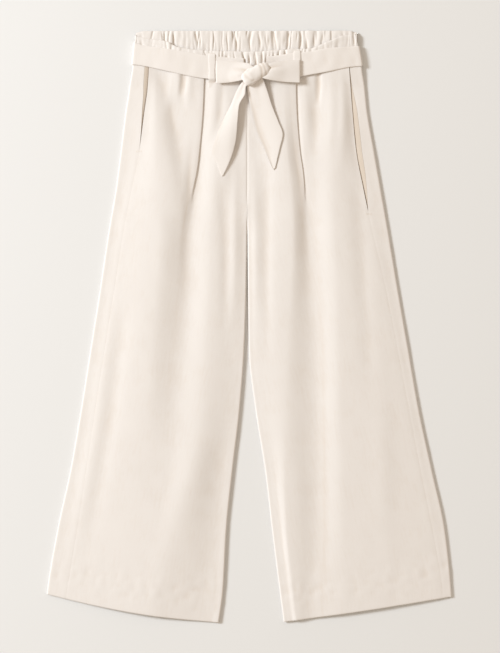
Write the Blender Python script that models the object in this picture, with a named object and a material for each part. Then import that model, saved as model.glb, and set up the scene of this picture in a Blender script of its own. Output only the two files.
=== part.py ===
"""Wide straight-leg trousers with an elasticated waist and a tie belt, laid flat with the front up.

Frame: +X runs to the right of a viewer who looks down on the garment, +Y from the hems to the waist and +Z
up off the surface it lies on. The origin is on that surface, under the middle of the outline.

All tables are in millimetres. "down" is measured from the top edge of the back waistband towards the hems,
and "out" sideways from the middle line, on each leg. "left" and "right" are the viewer's. Every piece is a
sheet of points with rows that run down and columns that run across, and a wall of cloth round it.
"""

import math
from collections import namedtuple

import bpy
import numpy as np
from mathutils import Matrix

MM = 0.001
TOP_Y = 473.0  # Y of the top edge of the back waistband

# ---------------------------------------------------------------- sizes of the cloth
CLOTH = 1.2  # wall of a leg panel
CASING = 1.4  # wall of the gathered waistband, two layers round its elastic
BELT = 1.6  # wall of the belt, a flat tube of cloth
CARRIER = 1.2  # wall of a belt carrier
FACING = 1.0  # wall of a pocket facing
SEAM_GAP = 0.3  # between two pieces that are sewn together
REST_GAP = 0.3  # between two pieces that only lie on each other
WAIST_GAP = 0.6  # at the waist seam, whose gathered edge waves up and down
PANEL_ROWS = 24

# ---------------------------------------------------------------- the legs, a row for each section
# Widths are for the outline, the side seam, and the crests and valleys between it and the inner edge.
# Heights (_z) are those of the upper face of the front panel.
Section = namedtuple("Section", "down outer seam seam_z crest crest_z valley valley_z ridge ridge_z inner inner_z")

LEFT_SECTIONS = [
    Section(6, 184.0, 160, 4.6, 147, 5.4, 68, 3.0, 52, 6.1, 3.3, 5.2),
    Section(46, 187.6, 160, 4.6, 147, 5.4, 68, 3.0, 52, 6.1, 3.3, 5.2),
    Section(94, 192.4, 162.6, 4.7, 148, 6.2, 69, 3.3, 52, 6.5, 3.3, 4.8),
    Section(126, 197.2, 167, 4.8, 150, 6.8, 71, 3.3, 52, 6.7, 3.3, 4.7),
    Section(190, 205.2, 175.4, 4.9, 151, 7.4, 78, 3.2, 52, 6.8, 3.3, 4.8),
    Section(254, 213.4, 188.4, 5.0, 153, 7.8, 89, 3.0, 52, 7.1, 3.3, 5.2),
    Section(318, 224.4, 200.8, 5.0, 156, 8.0, 96, 3.0, 56, 7.5, 3.5, 5.4),
    Section(414, 238.8, 216.2, 5.0, 160, 8.0, 101, 3.2, 63, 7.8, 4.8, 5.4),
    Section(510, 254.0, 231.6, 5.0, 165, 8.0, 114, 3.6, 69, 8.0, 7.9, 5.4),
    Section(606, 269.2, 246.6, 4.9, 170, 7.6, 125, 4.2, 76, 8.2, 15.1, 5.3),
    Section(702, 286.0, 261.0, 4.8, 176, 6.8, 135, 5.0, 88, 8.2, 26.3, 5.2),
    Section(798, 306.8, 275.5, 4.6, 199, 5.8, 159, 5.5, 117, 7.8, 36.1, 5.0),
    Section(894, 323.0, 291.6, 4.2, 239, 4.8, 207, 4.7, 162, 6.6, 41.4, 4.6),
    Section(946, 328.0, 299.0, 4.1, 250, 4.6, 215, 4.5, 168, 6.2, 48.4, 4.4),
]

RIGHT_SECTIONS = [
    Section(6, 172.0, 159, 4.6, 142, 5.5, 71, 3.0, 53, 6.1, -3.3, 5.2),
    Section(46, 180.4, 159, 4.6, 142, 5.5, 71, 3.0, 53, 6.1, -3.3, 5.2),
    Section(94, 185.4, 162, 4.7, 147, 6.4, 72, 3.3, 54, 6.5, -3.3, 4.8),
    Section(126, 188.6, 164.5, 4.8, 147, 7.0, 73, 3.3, 54, 6.7, -3.3, 4.7),
    Section(190, 199.6, 170.5, 5.0, 142, 7.6, 78, 3.2, 48, 6.8, -3.3, 4.8),
    Section(254, 210.8, 182.5, 5.0, 139, 7.8, 88, 3.0, 51, 7.0, -3.3, 5.2),
    Section(318, 222.0, 196.4, 5.0, 139, 8.0, 92, 3.0, 53, 7.2, -3.0, 5.4),
    Section(414, 238.0, 218.6, 4.9, 145, 8.0, 97, 3.2, 54, 7.2, -2.0, 5.4),
    Section(510, 254.8, 237.4, 4.8, 147, 8.0, 102, 3.6, 54, 7.2, -0.7, 5.4),
    Section(606, 271.6, 255.6, 4.6, 148, 7.8, 104, 4.0, 51, 7.2, 10.0, 5.3),
    Section(702, 292.4, 273.8, 4.5, 155, 7.4, 107, 4.4, 49, 7.0, 25.2, 5.2),
    Section(798, 313.2, 293.0, 4.4, 156, 6.8, 107, 4.8, 54, 6.6, 36.4, 5.0),
    Section(894, 323.2, 308.6, 4.2, 155, 6.0, 102, 5.0, 65, 6.0, 48.4, 4.8),
    Section(946, 326.0, 312.0, 4.1, 155, 5.6, 102, 4.8, 74, 5.6, 55.1, 4.5),
]

# ---------------------------------------------------------------- folds that don't run the whole way
# Each follows a smooth line through three points, and fades in and out at its ends.
Fold = namedtuple("Fold", "name down_1 out_1 down_2 out_2 down_3 out_3 width height")

LEFT_FOLDS = [
    Fold("valley_from_pocket", 62, 150, 128, 128, 240, 104, 15, -2.1),
    Fold("ridge_by_pleat", 70, 92, 150, 91, 235, 94, 11, 1.7),
    Fold("waist_tuck", 58, 102, 88, 105, 128, 111, 6, -1.7),
    Fold("dip_beside_centre", 230, 42, 360, 38, 500, 40, 8, -0.7),
    Fold("bump_beside_centre", 230, 22, 350, 23, 480, 26, 8, 0.7),
]

RIGHT_FOLDS = [
    Fold("waist_tuck", 56, 110, 96, 112, 178, 108, 8, -1.9),
    Fold("ridge_by_pleat", 70, 88, 120, 92, 180, 96, 9, 1.0),
    Fold("dip_beside_centre", 260, 24, 380, 25, 500, 24, 8, -0.6),
]

# ---------------------------------------------------------------- edges of the leg panels
SIDE_REACH = 3.0  # how far in from the outline the rounded side fold starts
SIDE_TOP = 3.9  # height at the top of that fold
CROTCH = 288.0
ROLLED = 330.0  # the inner edges, flat above the crotch, are fully rolled from here on down
ROLL = 2.0  # radius of the rolled inner edge, at the middle of the cloth
ROLL_TOP = 4.3
SHOULDER = 13.0  # how far in from the inner edge the cloth starts to fall to it
BACK_WAIST_CENTRE = 42.4  # down: the back waist seam at the centre back
WAIST_SIDE = 48.0  # the same at the side folds
Hem = namedtuple("Hem", "outer inner bow")
LEFT_HEM = Hem(900.0, 946.0, 7.0)
RIGHT_HEM = Hem(904.0, 945.0, 1.5)
ROW_CROWDING = 1.25  # over 1, rows lie closer together at the waist

# ---------------------------------------------------------------- front pleats
# Below the waist a pleat is a flat Z of three layers. Going down, its overlap closes first, then its step.
PLEAT_LAYER = 1.6  # from one layer's middle to the next
PLEAT_OVERLAP = 4.0
OVERLAP_ENDS = (200.0, 262.0)
STEP_ENDS = (235.0, 318.0)
PLEAT_HALF_WIDTHS = (4.5, 14.0)  # of the strip that holds the pleat, at the waist and in the open valley below it
PleatPoint = namedtuple("PleatPoint", "side overlap bulge layers")
PLEAT_POINTS = [  # from the top layer to the bottom one: the strip's edge, then each end of the overlap in turn
    PleatPoint(-1, 0, 0, 2.0),
    PleatPoint(0, 0.5, 0, 2.0),
    PleatPoint(0, 0.5, 0.43, 1.75),
    PleatPoint(0, 0.5, 0.43, 1.25),
    PleatPoint(0, 0.5, 0, 1.0),
    PleatPoint(0, -0.5, 0, 1.0),
    PleatPoint(0, -0.5, -0.43, 0.75),
    PleatPoint(0, -0.5, -0.43, 0.25),
    PleatPoint(0, -0.5, 0, 0.0),
    PleatPoint(1, 0, 0, 0.0),
]

# ---------------------------------------------------------------- pocket mouths, left open in the side seams
PocketGap = namedtuple("PocketGap", "down gap")
LEFT_POCKET = [PocketGap(52, 7.0), PocketGap(80, 7.2), PocketGap(112, 5.0), PocketGap(150, 2.2), PocketGap(190, SEAM_GAP)]
RIGHT_POCKET = [PocketGap(64, 1.2), PocketGap(91, 3.2), PocketGap(129, 8.0), PocketGap(178, 9.5),
                PocketGap(219, 9.0), PocketGap(254, 5.5), PocketGap(290, SEAM_GAP)]
FACING_UNDER_FRONT = 7.0
FACING_UNDER_BACK = 6.0
FACING_BELOW_WAIST = 7.0
FACING_BELOW_MOUTH = 3.0

# ---------------------------------------------------------------- waistband
BAND_HEIGHT = 40.0
BAND_REACH = 1.7  # radius across of the band's side folds, at the middle of the cloth
BAND_ENDS = 160.0  # the front band runs from side seam to side seam
GATHER_PITCH = 8.4
GATHER_COLUMNS = 4
GATHER_HEIGHT = 0.8  # half of a wave, crest to trough
GATHER_HEIGHT_SIDE = 0.3
GATHER_FADE = (115.0, 165.0)
Gather = namedtuple("Gather", "shift length turn")
GATHER_UNEVEN = [Gather(1.6, 17.0, 0.4), Gather(0.9, 7.3, 1.7)]  # how the gathers crowd and spread

Edge = namedtuple("Edge", "x down")
FRONT_BAND_TOP = [Edge(-186, 8), Edge(-160, 13), Edge(-134, 17), Edge(-112, 27), Edge(-80, 31.5), Edge(0, 34),
                  Edge(60, 30.5), Edge(98, 28.5), Edge(122, 19), Edge(158, 6.5), Edge(178, 6)]
BACK_BAND_TOP = [Edge(-186, 8), Edge(-179, 3), Edge(-166, 0.6), Edge(0, 0.4), Edge(158, 0.0), Edge(169, 2.0), Edge(178, 6)]

# ---------------------------------------------------------------- belt
BELT_LIFT = BELT + REST_GAP  # the belt passes under the back waistband and holds it off the surface
LIFT_ENDS = (60.0, 92.0)  # down: the back panels come down to the surface between these two
BELT_TOP_CENTRE = 9.3  # height of the middle of the belt's wall on the front
BELT_TOP_SIDE = 7.6
BELT_FALL = (125.0, 175.0)
BELT_REACH = 2.2  # radius across of its side folds, at the middle of the cloth
BELT_ENDS = (-15.0, 31.0)  # X where the two front runs end, under the knot
BeltEdge = namedtuple("BeltEdge", "x top bottom")
BELT_FRONT = [BeltEdge(-186, 18.5, 54), BeltEdge(-167, 24.8, 56.6), BeltEdge(-119, 31.4, 67.4),
              BeltEdge(-66, 40.6, 77.1), BeltEdge(-12, 45, 80), BeltEdge(30, 42, 78), BeltEdge(74, 36.5, 74.6),
              BeltEdge(99, 34, 70.3), BeltEdge(126, 28.8, 65.3), BeltEdge(159, 26.5, 58.6), BeltEdge(180, 25, 56)]
BELT_BACK = [BeltEdge(-186, 18.5, 54), BeltEdge(0, 8, 44), BeltEdge(180, 25, 56)]

# ---------------------------------------------------------------- belt carriers, each a strip over the belt
Carrier = namedtuple("Carrier", "name x top bottom")
CARRIER_WIDTH = 11.0
CARRIERS = [Carrier("belt_loop_left", -59.6, 36.5, 91.0), Carrier("belt_loop_right", 76.4, 32.0, 86.0)]
CARRIER_SLOPE = 5.0  # how far down the cloth takes to climb over a belt edge

# ---------------------------------------------------------------- bow
KNOT_X, KNOT_DOWN, KNOT_Z = 10.8, 69.9, 16.6
KNOT_LENGTH, KNOT_WIDTH, KNOT_HEIGHT = 49.0, 24.0, 12.4
KNOT_TILT = math.radians(30)
KNOT_ROUNDNESS = 2.2  # 2 is an ellipsoid, more is boxier
BOW = 1.6  # wall of the bow's cloth

Loop = namedtuple("Loop", "name side end underside knot_top knot_bottom end_top end_bottom puff")
LOOPS = [
    Loop("bow_loop_left", -1, -53.2, 10.4, 63.0, 78.0, 48.8, 84.6, 3.2),
    Loop("bow_loop_right", 1, 80.9, 12.1, 59.0, 75.0, 48.0, 83.7, 3.4),
]
LOOP_COLUMNS = 7
LOOP_TURN = 1.3  # radius of the fold at the outer end, at the middle of the cloth
KNOT_ENTRY = (15.0, 18.6)  # heights at which a loop's two layers come out of the knot

TailRow = namedtuple("TailRow", "left_x left_down right_x right_down lift arch")
TAILS = {
    "bow_tail_left": [
        TailRow(-13.5, 86.0, -5.6, 91.0, 4.5, 2.5),
        TailRow(-20.4, 98.0, -6.4, 101.0, 6.0, 3.6),
        TailRow(-28.2, 117.0, -13.6, 120.0, 7.0, 3.4),
        TailRow(-40.9, 142.0, -18.8, 143.0, 6.0, 2.4),
        TailRow(-55.1, 177.4, -22.8, 171.0, 3.0, 1.4),
        TailRow(-59.1, 194.6, -28.2, 190.2, 1.2, 0.8),
        TailRow(-50.8, 214.2, -34.6, 210.4, 0.5, 0.4),
        TailRow(-43.8, 232.6, -41.7, 231.0, 0.1, 0.0),
    ],
    "bow_tail_right": [
        TailRow(-3.2, 91.0, 22.3, 79.5, 3.5, 2.2),
        TailRow(-1.2, 107.0, 28.4, 96.6, 2.2, 1.8),
        TailRow(3.3, 129.8, 36.4, 121.4, 1.4, 1.2),
        TailRow(11.3, 161.4, 46.0, 145.4, 0.9, 0.8),
        TailRow(22.3, 186.7, 53.2, 166.2, 0.5, 0.5),
        TailRow(31.0, 207.4, 48.4, 188.6, 0.2, 0.3),
        TailRow(38.0, 222.2, 42.0, 219.8, 0.0, 0.0),
    ],
}
TAIL_COLUMNS = 5
DRAPE_REACH = 7.0  # what lies on the front spans hollows narrower than about twice this


def smoothstep(value, start, end):
    """0 before start, 1 after end, and an S-shaped rise between them."""
    t = np.clip((np.asarray(value, float) - start) / (end - start), 0.0, 1.0)
    return t * t * (3 - 2 * t)


def curve(at, knots, values, flat_ends=False):
    """A smooth curve through the knots that never overshoots them, so each crest and valley is at a knot.

    A knot or a value may be one number, or an array as long as at.
    """
    at = np.asarray(at, float)
    knots = np.array([np.broadcast_to(k, at.shape) for k in knots], float)
    values = np.array([np.broadcast_to(v, at.shape) for v in values], float)
    step = np.diff(knots, axis=0)
    rise = np.diff(values, axis=0) / step
    slope = np.zeros_like(values)
    same_way = rise[:-1] * rise[1:] > 0
    total = np.where(same_way, rise[:-1] + rise[1:], 1.0)
    slope[1:-1] = np.where(same_way, 2 * rise[:-1] * rise[1:] / total, 0.0)
    if not flat_ends:
        slope[0], slope[-1] = rise[0], rise[-1]
    at = np.clip(at, knots[0], knots[-1])
    result = values[0].copy()
    for k in range(len(step)):
        t = np.clip((at - knots[k]) / step[k], 0.0, 1.0)
        cubic = (
            values[k] * (1 + 2 * t) * (1 - t) ** 2
            + values[k + 1] * t * t * (3 - 2 * t)
            + slope[k] * step[k] * t * (1 - t) ** 2
            - slope[k + 1] * step[k] * t * t * (1 - t)
        )
        result = np.where(at >= knots[k], cubic, result)
    return result


def table_curve(rows, key, name, at):
    """One named column of a table as a smooth curve over its key column."""
    return curve(at, [getattr(row, key) for row in rows], [getattr(row, name) for row in rows])


def belt_lift(down):
    """How far the belt under the back holds it off the surface, and how far the body lies inside its outline."""
    return BELT_LIFT * (1 - smoothstep(down, *LIFT_ENDS))


class Leg:
    """One leg's tables, with its lines across and the heights of its front panel."""

    def __init__(self, name, side, sections, folds, pocket, hem):
        self.name, self.side = name, side
        self.sections, self.folds, self.pocket, self.hem = sections, folds, pocket, hem

    def line(self, name, down):
        width = table_curve(self.sections, "down", name, down)
        return width - belt_lift(down) if name == "outer" else width

    def pocket_gap(self, down):
        return table_curve(self.pocket, "down", "gap", down)

    def hem_down(self, out):
        """The hem's line, between its two corners."""
        outer, inner = (self.line(name, self.hem.outer) for name in ("outer", "inner"))
        across = np.clip((outer - out) / (outer - inner), 0.0, 1.0)
        return self.hem.outer + (self.hem.inner - self.hem.outer) * across + self.hem.bow * np.sin(math.pi * across)

    def small_folds(self, out, down):
        total = np.zeros(np.shape(out))
        for fold in self.folds:
            middle = curve(down, [fold.down_1, fold.down_2, fold.down_3], [fold.out_1, fold.out_2, fold.out_3])
            along = np.clip((down - fold.down_1) / (fold.down_3 - fold.down_1), 0.0, 1.0)
            total += fold.height * np.sin(math.pi * along**0.8) * np.exp(-(((out - middle) / fold.width) ** 2))
        return total

    def top(self, out, down, pleat_share=None):
        """Height of the front panel's upper face. pleat_share is 1 on a pleat's top layer and 0 on its lowest."""
        out, down = np.broadcast_arrays(np.asarray(out, float), np.asarray(down, float))
        lines = {name: self.line(name, down) for name in Section._fields[1:]}
        rolled = smoothstep(down, CROTCH, ROLLED)
        places = [
            -(lines["outer"] - SIDE_REACH),
            -lines["seam"],
            -lines["crest"],
            -lines["valley"],
            -lines["ridge"],
            -(lines["inner"] + SHOULDER),
            -(lines["inner"] + ROLL * rolled),
        ]
        heights = [
            SIDE_TOP,
            lines["seam_z"],
            lines["crest_z"],
            lines["valley_z"],
            lines["ridge_z"],
            lines["inner_z"],
            lines["inner_z"] + (ROLL_TOP - lines["inner_z"]) * rolled,
        ]
        height = curve(-out, places, heights, flat_ends=True) + self.small_folds(out, down)
        lowest = 2 * CLOTH + REST_GAP
        over = height - lowest
        height = lowest + 0.5 * (over + np.sqrt(over**2 + 0.1))
        if pleat_share is None:
            pleat_share = np.where(out < lines["valley"], 1.0, 0.0)
        towards_ridge = 1 - smoothstep(lines["valley"] - out, 0, lines["valley"] - lines["ridge"])
        step = 2 * PLEAT_LAYER * (1 - smoothstep(down, *STEP_ENDS))
        return height + step * pleat_share * towards_ridge + belt_lift(down)


LEGS = [
    Leg("left", -1, LEFT_SECTIONS, LEFT_FOLDS, LEFT_POCKET, LEFT_HEM),
    Leg("right", 1, RIGHT_SECTIONS, RIGHT_FOLDS, RIGHT_POCKET, RIGHT_HEM),
]
CENTRE = -LEFT_SECTIONS[0].inner  # X of the centre front and centre back seams


def front_top(x, down):
    """Height of the upper face of the front panels at any place."""
    left, right = (leg.top(leg.side * np.asarray(x, float), down) for leg in LEGS)
    return np.where(np.asarray(x) < CENTRE, left, right)


def drape_height(x, down):
    """What a stiffish strip lies on: the highest of the front's points near each place."""
    spots = [(0, 0), (1, 0), (-1, 0), (0, 1), (0, -1)]
    return np.max([front_top(x + DRAPE_REACH * i, down + DRAPE_REACH * j) for i, j in spots], axis=0)


def front_band_top(x):
    return table_curve(FRONT_BAND_TOP, "x", "down", x)


def front_waist(x):
    return front_band_top(x) + BAND_HEIGHT


def back_waist(x):
    """The back waist seam: it bows up to the centre, and meets the front one at each side fold."""
    side_x = np.where(np.asarray(x) < 0, FRONT_BAND_TOP[0].x, FRONT_BAND_TOP[-1].x)
    return BACK_WAIST_CENTRE + (front_waist(side_x) - BACK_WAIST_CENTRE) * np.minimum(x / side_x, 1) ** 2


# ---------------------------------------------------------------- building
def cloth_material(name, colour):
    material = bpy.data.materials.new(name)
    material.use_nodes = True
    shader = material.node_tree.nodes["Principled BSDF"]
    shader.inputs["Base Color"].default_value = (*colour, 1.0)
    shader.inputs["Roughness"].default_value = 0.85
    shader.inputs["Metallic"].default_value = 0.0
    return material


IVORY = (0.83, 0.77, 0.69)
IVORY_BELT = (0.84, 0.77, 0.70)
IVORY_INSIDE = (0.79, 0.72, 0.64)


def sheet(name, x, down, z, wall, colour):
    """One piece of cloth: the grid of points (x, down, z), with half of its wall on each side."""
    x, down, z = np.broadcast_arrays(x, down, z)
    rows, columns = x.shape
    points = np.stack([x, TOP_Y - down, z], axis=-1).reshape(-1, 3) * MM
    faces = [
        (r * columns + c, (r + 1) * columns + c, (r + 1) * columns + c + 1, r * columns + c + 1)
        for r in range(rows - 1)
        for c in range(columns - 1)
    ]
    mesh = bpy.data.meshes.new(name)
    mesh.from_pydata(points.tolist(), [], faces)
    mesh.materials.append(cloth_material(name + "_cloth", colour))
    mesh.shade_smooth()
    piece = bpy.data.objects.new(name, mesh)
    bpy.context.scene.collection.objects.link(piece)
    thicken = piece.modifiers.new("wall", "SOLIDIFY")
    thicken.thickness = wall * MM
    thicken.offset = 0.0
    return piece


def row_shares():
    return (np.arange(PANEL_ROWS + 1) / PANEL_ROWS) ** ROW_CROWDING


def panel_downs(leg, out_at, waist):
    """The rows of one column, from the waist seam to the hem. out_at gives the column's place at any down."""
    top, bottom = np.array(WAIST_SIDE), np.array(leg.hem.inner)
    for _ in range(3):  # the column leans, so where it meets an edge is found in a few steps
        top = waist(leg.side * out_at(top))
        bottom = leg.hem_down(out_at(bottom))
    start = top + WAIST_GAP
    return start + (bottom - start) * row_shares()


def panel(leg, columns, name, colour):
    """A leg panel from its columns. Each is a pair: its place across, and its height, both as rows."""
    out, down, z = (np.stack(part, axis=1) for part in zip(*columns))
    return sheet(name, leg.side * out, down, z, CLOTH, colour)


def pleat_place(leg, point, number, down):
    """Where one of the pleat's points lies, and its share of the pleat's step, at each down."""
    closed = smoothstep(down, *OVERLAP_ENDS)
    half = PLEAT_HALF_WIDTHS[0] + (PLEAT_HALF_WIDTHS[1] - PLEAT_HALF_WIDTHS[0]) * smoothstep(down, 235, 400)
    folded = point.side * half + point.overlap * PLEAT_OVERLAP + point.bulge * PLEAT_LAYER
    along = number / (len(PLEAT_POINTS) - 1)
    opened = half * (2 * along - 1)
    place = leg.line("valley", down) + folded + (opened - folded) * closed
    share = point.layers / 2 + (1 - smoothstep(along, 0, 1) - point.layers / 2) * closed
    return place, share


def front_panel(leg):
    """From the side seam over the crest, through the pleat, over the ridge and round the inner edge."""
    columns = []

    def add(out_at, share=None):
        down = panel_downs(leg, out_at, front_waist)
        out = out_at(down)
        shares = None if share is None else share(down)
        columns.append((out, down, leg.top(out, down, shares) - CLOTH / 2))

    def pleat_edge(down, number):
        return pleat_place(leg, PLEAT_POINTS[number], number, down)[0]

    side_columns = 7
    for k in range(side_columns):
        add(lambda d, f=k / side_columns: leg.line("seam", d) * (1 - f) + pleat_edge(d, -1 + len(PLEAT_POINTS)) * f)
    for number in range(len(PLEAT_POINTS) - 1, -1, -1):
        point = PLEAT_POINTS[number]
        add(
            lambda d, p=point, n=number: pleat_place(leg, p, n, d)[0],
            lambda d, p=point, n=number: pleat_place(leg, p, n, d)[1],
        )
    centre_columns = 8
    for k in range(1, centre_columns):
        f = k / centre_columns
        add(lambda d, f=f: pleat_edge(d, 0) * (1 - f) + (leg.line("inner", d) + CLOTH / 2 + ROLL) * f)
    roll_steps = 3
    for k in range(roll_steps + 1):
        turn = math.pi / 2 * (1 - k / roll_steps)

        def roll_out(down, turn=turn, k=k):
            rolled = smoothstep(down, CROTCH, ROLLED)
            flat_place = SEAM_GAP / 2 + (CLOTH / 2 + ROLL) * (1 - k / roll_steps)
            rolled_place = CLOTH / 2 + ROLL * (1 - math.cos(turn))
            return leg.line("inner", down) + flat_place + (rolled_place - flat_place) * rolled

        down = panel_downs(leg, roll_out, front_waist)
        out = roll_out(down)
        fall = ROLL * (1 - math.sin(turn)) * smoothstep(down, CROTCH, ROLLED)
        columns.append((out, down, leg.top(out, down) - CLOTH / 2 - fall))
    return panel(leg, columns, "front_" + leg.name, IVORY)


def back_panel(leg):
    """Flat on the surface, round the side fold, and on to the side seam on the front."""
    columns = []
    half = (SIDE_TOP - CLOTH) / 2  # radius of the side fold, at the middle of the cloth
    reach = SIDE_REACH - CLOTH / 2
    low = CLOTH / 2

    def seam_edge(down):
        return leg.line("seam", down) + leg.pocket_gap(down)

    def inner_edge(down):
        return leg.line("inner", down) + SEAM_GAP / 2 * (1 - smoothstep(down, CROTCH, ROLLED))

    def fold_start(down):
        return leg.line("outer", down) - SIDE_REACH

    def add(out_at, waist, height):
        down = panel_downs(leg, out_at, waist)
        out = out_at(down)
        columns.append((out, down, height(out, down)))

    def top_height(out, down):
        return leg.top(out, down) - CLOTH / 2

    for f in (0.0, 0.33, 0.67):
        add(lambda d, f=f: seam_edge(d) * (1 - f) + fold_start(d) * f, front_waist, top_height)
    arc_steps = 5
    for k in range(arc_steps + 1):
        turn = math.pi / 2 - math.pi * k / arc_steps
        add(
            lambda d, turn=turn: fold_start(d) + reach * math.cos(turn),
            front_waist if turn > 0 else back_waist,
            lambda out, d, turn=turn: low + half + half * math.sin(turn) + belt_lift(d),
        )
    for f in (0.33, 0.67, 1.0):
        add(
            lambda d, f=f: fold_start(d) * (1 - f) + inner_edge(d) * f,
            back_waist,
            lambda out, d: low + belt_lift(d),
        )
    return panel(leg, columns, "back_" + leg.name, IVORY)


def pocket_facing(leg):
    """The strip of cloth that shows through the open pocket mouth. Its rows lie over those of the back panel."""
    rows = panel_downs(leg, lambda d: leg.line("seam", d), back_waist)
    start, end = WAIST_SIDE + FACING_BELOW_WAIST, leg.pocket[-1].down + FACING_BELOW_MOUTH
    inside = rows[(rows > start + 2) & (rows < end - 2)]
    down = np.concatenate([[start], inside, [end]])[:, None]
    inner = leg.line("seam", down) - FACING_UNDER_FRONT
    outer = leg.line("seam", down) + leg.pocket_gap(down) + FACING_UNDER_BACK
    out = inner + (outer - inner) * np.linspace(0, 1, 4)
    z = CLOTH + REST_GAP + FACING / 2 + np.interp(down, rows, belt_lift(rows))
    return sheet("pocket_facing_" + leg.name, leg.side * out, down, z, FACING, IVORY_INSIDE)


def gather_phase(x):
    """Distance along the gathers, which crowd and spread unevenly."""
    uneven = sum(g.shift * np.sin(x / g.length + g.turn) for g in GATHER_UNEVEN)
    return x + uneven


def gather_height(x):
    fade = smoothstep(np.abs(x), *GATHER_FADE)
    return GATHER_HEIGHT + (GATHER_HEIGHT_SIDE - GATHER_HEIGHT) * fade


def gather_wave(x):
    strength = 0.8 + 0.2 * np.sin(x / 29.0)
    return gather_height(x) * strength * np.sin(2 * math.pi * gather_phase(x) / GATHER_PITCH)


def gather_columns(start, end):
    """X of the columns, GATHER_COLUMNS to each gather, so that none of the crests is cut off."""
    fine = np.linspace(start, end, 2000)
    phase = gather_phase(fine)
    step = GATHER_PITCH / GATHER_COLUMNS
    count = max(2, round((phase[-1] - phase[0]) / step))
    first = math.ceil(phase[0] / step + 0.4) * step
    inside = np.arange(first, phase[-1] - 0.4 * step, step)
    x = np.interp(inside, phase, fine)
    return np.concatenate([[start], x, [end]])[: count + 4]


def back_band_middle(x):
    """Height of the middle of the back band's wall: its troughs rest on the belt."""
    return BELT_LIFT + CASING / 2 + gather_height(x)


def front_band_middle(x):
    """The same for the front band, whose troughs clear the back band's crests."""
    return back_band_middle(x) + 2 * gather_height(x) + CASING + REST_GAP


ROWS = {"band": np.array([0.0, 0.5, 1.0])[:, None], "belt": np.linspace(0, 1, 3)[:, None]}


def front_band():
    x = gather_columns(-BAND_ENDS, BAND_ENDS)
    down = front_band_top(x) + BAND_HEIGHT * ROWS["band"]
    return sheet("waistband_front", x, down, front_band_middle(x) + gather_wave(x), CASING, IVORY)


def side_fold(side, share_front, low, high, down, reach, wall, steps):
    """Columns round a side fold from its upper end to its lower one. down has a column for each end."""
    leg = LEGS[0] if side < 0 else LEGS[1]
    columns = []
    for k in range(steps + 1):
        turn = math.pi / 2 - math.pi * k / steps
        f = k / steps
        row_down = down[0] * (1 - f) + down[1] * f
        x = side * (leg.line("outer", row_down) + share_front - wall / 2 - reach * (1 - math.cos(turn)))
        columns.append((x, row_down, (high + low) / 2 + (high - low) / 2 * math.sin(turn) + 0 * x))
    return columns


def back_band():
    """Across the back and round both side folds, up to the side seams on the front."""
    rows = ROWS["band"][:, 0]
    columns = []

    def front_rows(x):
        return front_band_top(x) + BAND_HEIGHT * rows

    def back_rows(x):
        top = table_curve(BACK_BAND_TOP, "x", "down", x)
        return top + (back_waist(x) - top) * rows

    def fold_x(side):
        leg = LEGS[0] if side < 0 else LEGS[1]
        return side * (float(leg.line("outer", 30.0)) - CASING / 2 - BAND_REACH)

    for side in (-1, 1):
        x_end = fold_x(side)
        run = gather_columns(BAND_ENDS + SEAM_GAP, abs(x_end) - 1.5) * side
        front = [(x + 0 * rows, front_rows(x), front_band_middle(x) + gather_wave(x) + 0 * rows) for x in run]
        fold = side_fold(
            side,
            0.0,
            back_band_middle(x_end),
            front_band_middle(x_end),
            (front_rows(x_end), back_rows(x_end)),
            BAND_REACH,
            CASING,
            5,
        )
        if side < 0:
            columns += front + fold
        else:
            back_x = gather_columns(fold_x(-1) + 2.0, fold_x(1) - 2.0)
            columns += [(x + 0 * rows, back_rows(x), back_band_middle(x) + gather_wave(x) + 0 * rows) for x in back_x]
            columns += fold[::-1] + front[::-1]
    x, down, z = (np.stack(part, axis=1) for part in zip(*columns))
    return sheet("waistband_back", x, down, z, CASING, IVORY)


def belt_middle(x):
    """Height of the middle of the belt's wall where it lies on the front."""
    return BELT_TOP_CENTRE + (BELT_TOP_SIDE - BELT_TOP_CENTRE) * smoothstep(np.abs(x), *BELT_FALL)


def belt():
    """Round the waist in one strip: from the knot to a side, under the back, and up to the knot again."""
    rows = ROWS["belt"][:, 0]
    columns = []

    def edge_rows(table, x):
        top, bottom = (table_curve(table, "x", name, x) for name in ("top", "bottom"))
        return top + (bottom - top) * rows

    def fold_x(side):
        leg = LEGS[0] if side < 0 else LEGS[1]
        return side * (float(leg.line("outer", 30.0)) + BELT_LIFT - BELT / 2 - BELT_REACH)

    for side, end in zip((-1, 1), BELT_ENDS):
        x_end = fold_x(side)
        run = np.linspace(end, x_end - side * 3.0, 13)
        front = [(x + 0 * rows, edge_rows(BELT_FRONT, x), belt_middle(x) + 0 * rows) for x in run]
        fold = side_fold(
            side,
            BELT_LIFT,
            BELT / 2,
            belt_middle(x_end),
            (edge_rows(BELT_FRONT, x_end), edge_rows(BELT_BACK, x_end)),
            BELT_REACH,
            BELT,
            7,
        )
        if side < 0:
            columns += front + fold
        else:
            back_x = np.linspace(fold_x(-1) + 4.0, fold_x(1) - 4.0, 9)
            columns += [(x + 0 * rows, edge_rows(BELT_BACK, x), BELT / 2 + 0 * rows) for x in back_x]
            columns += fold[::-1] + front[::-1]
    x, down, z = (np.stack(part, axis=1) for part in zip(*columns))
    return sheet("belt", x, down, z, BELT, IVORY_BELT)


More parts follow.
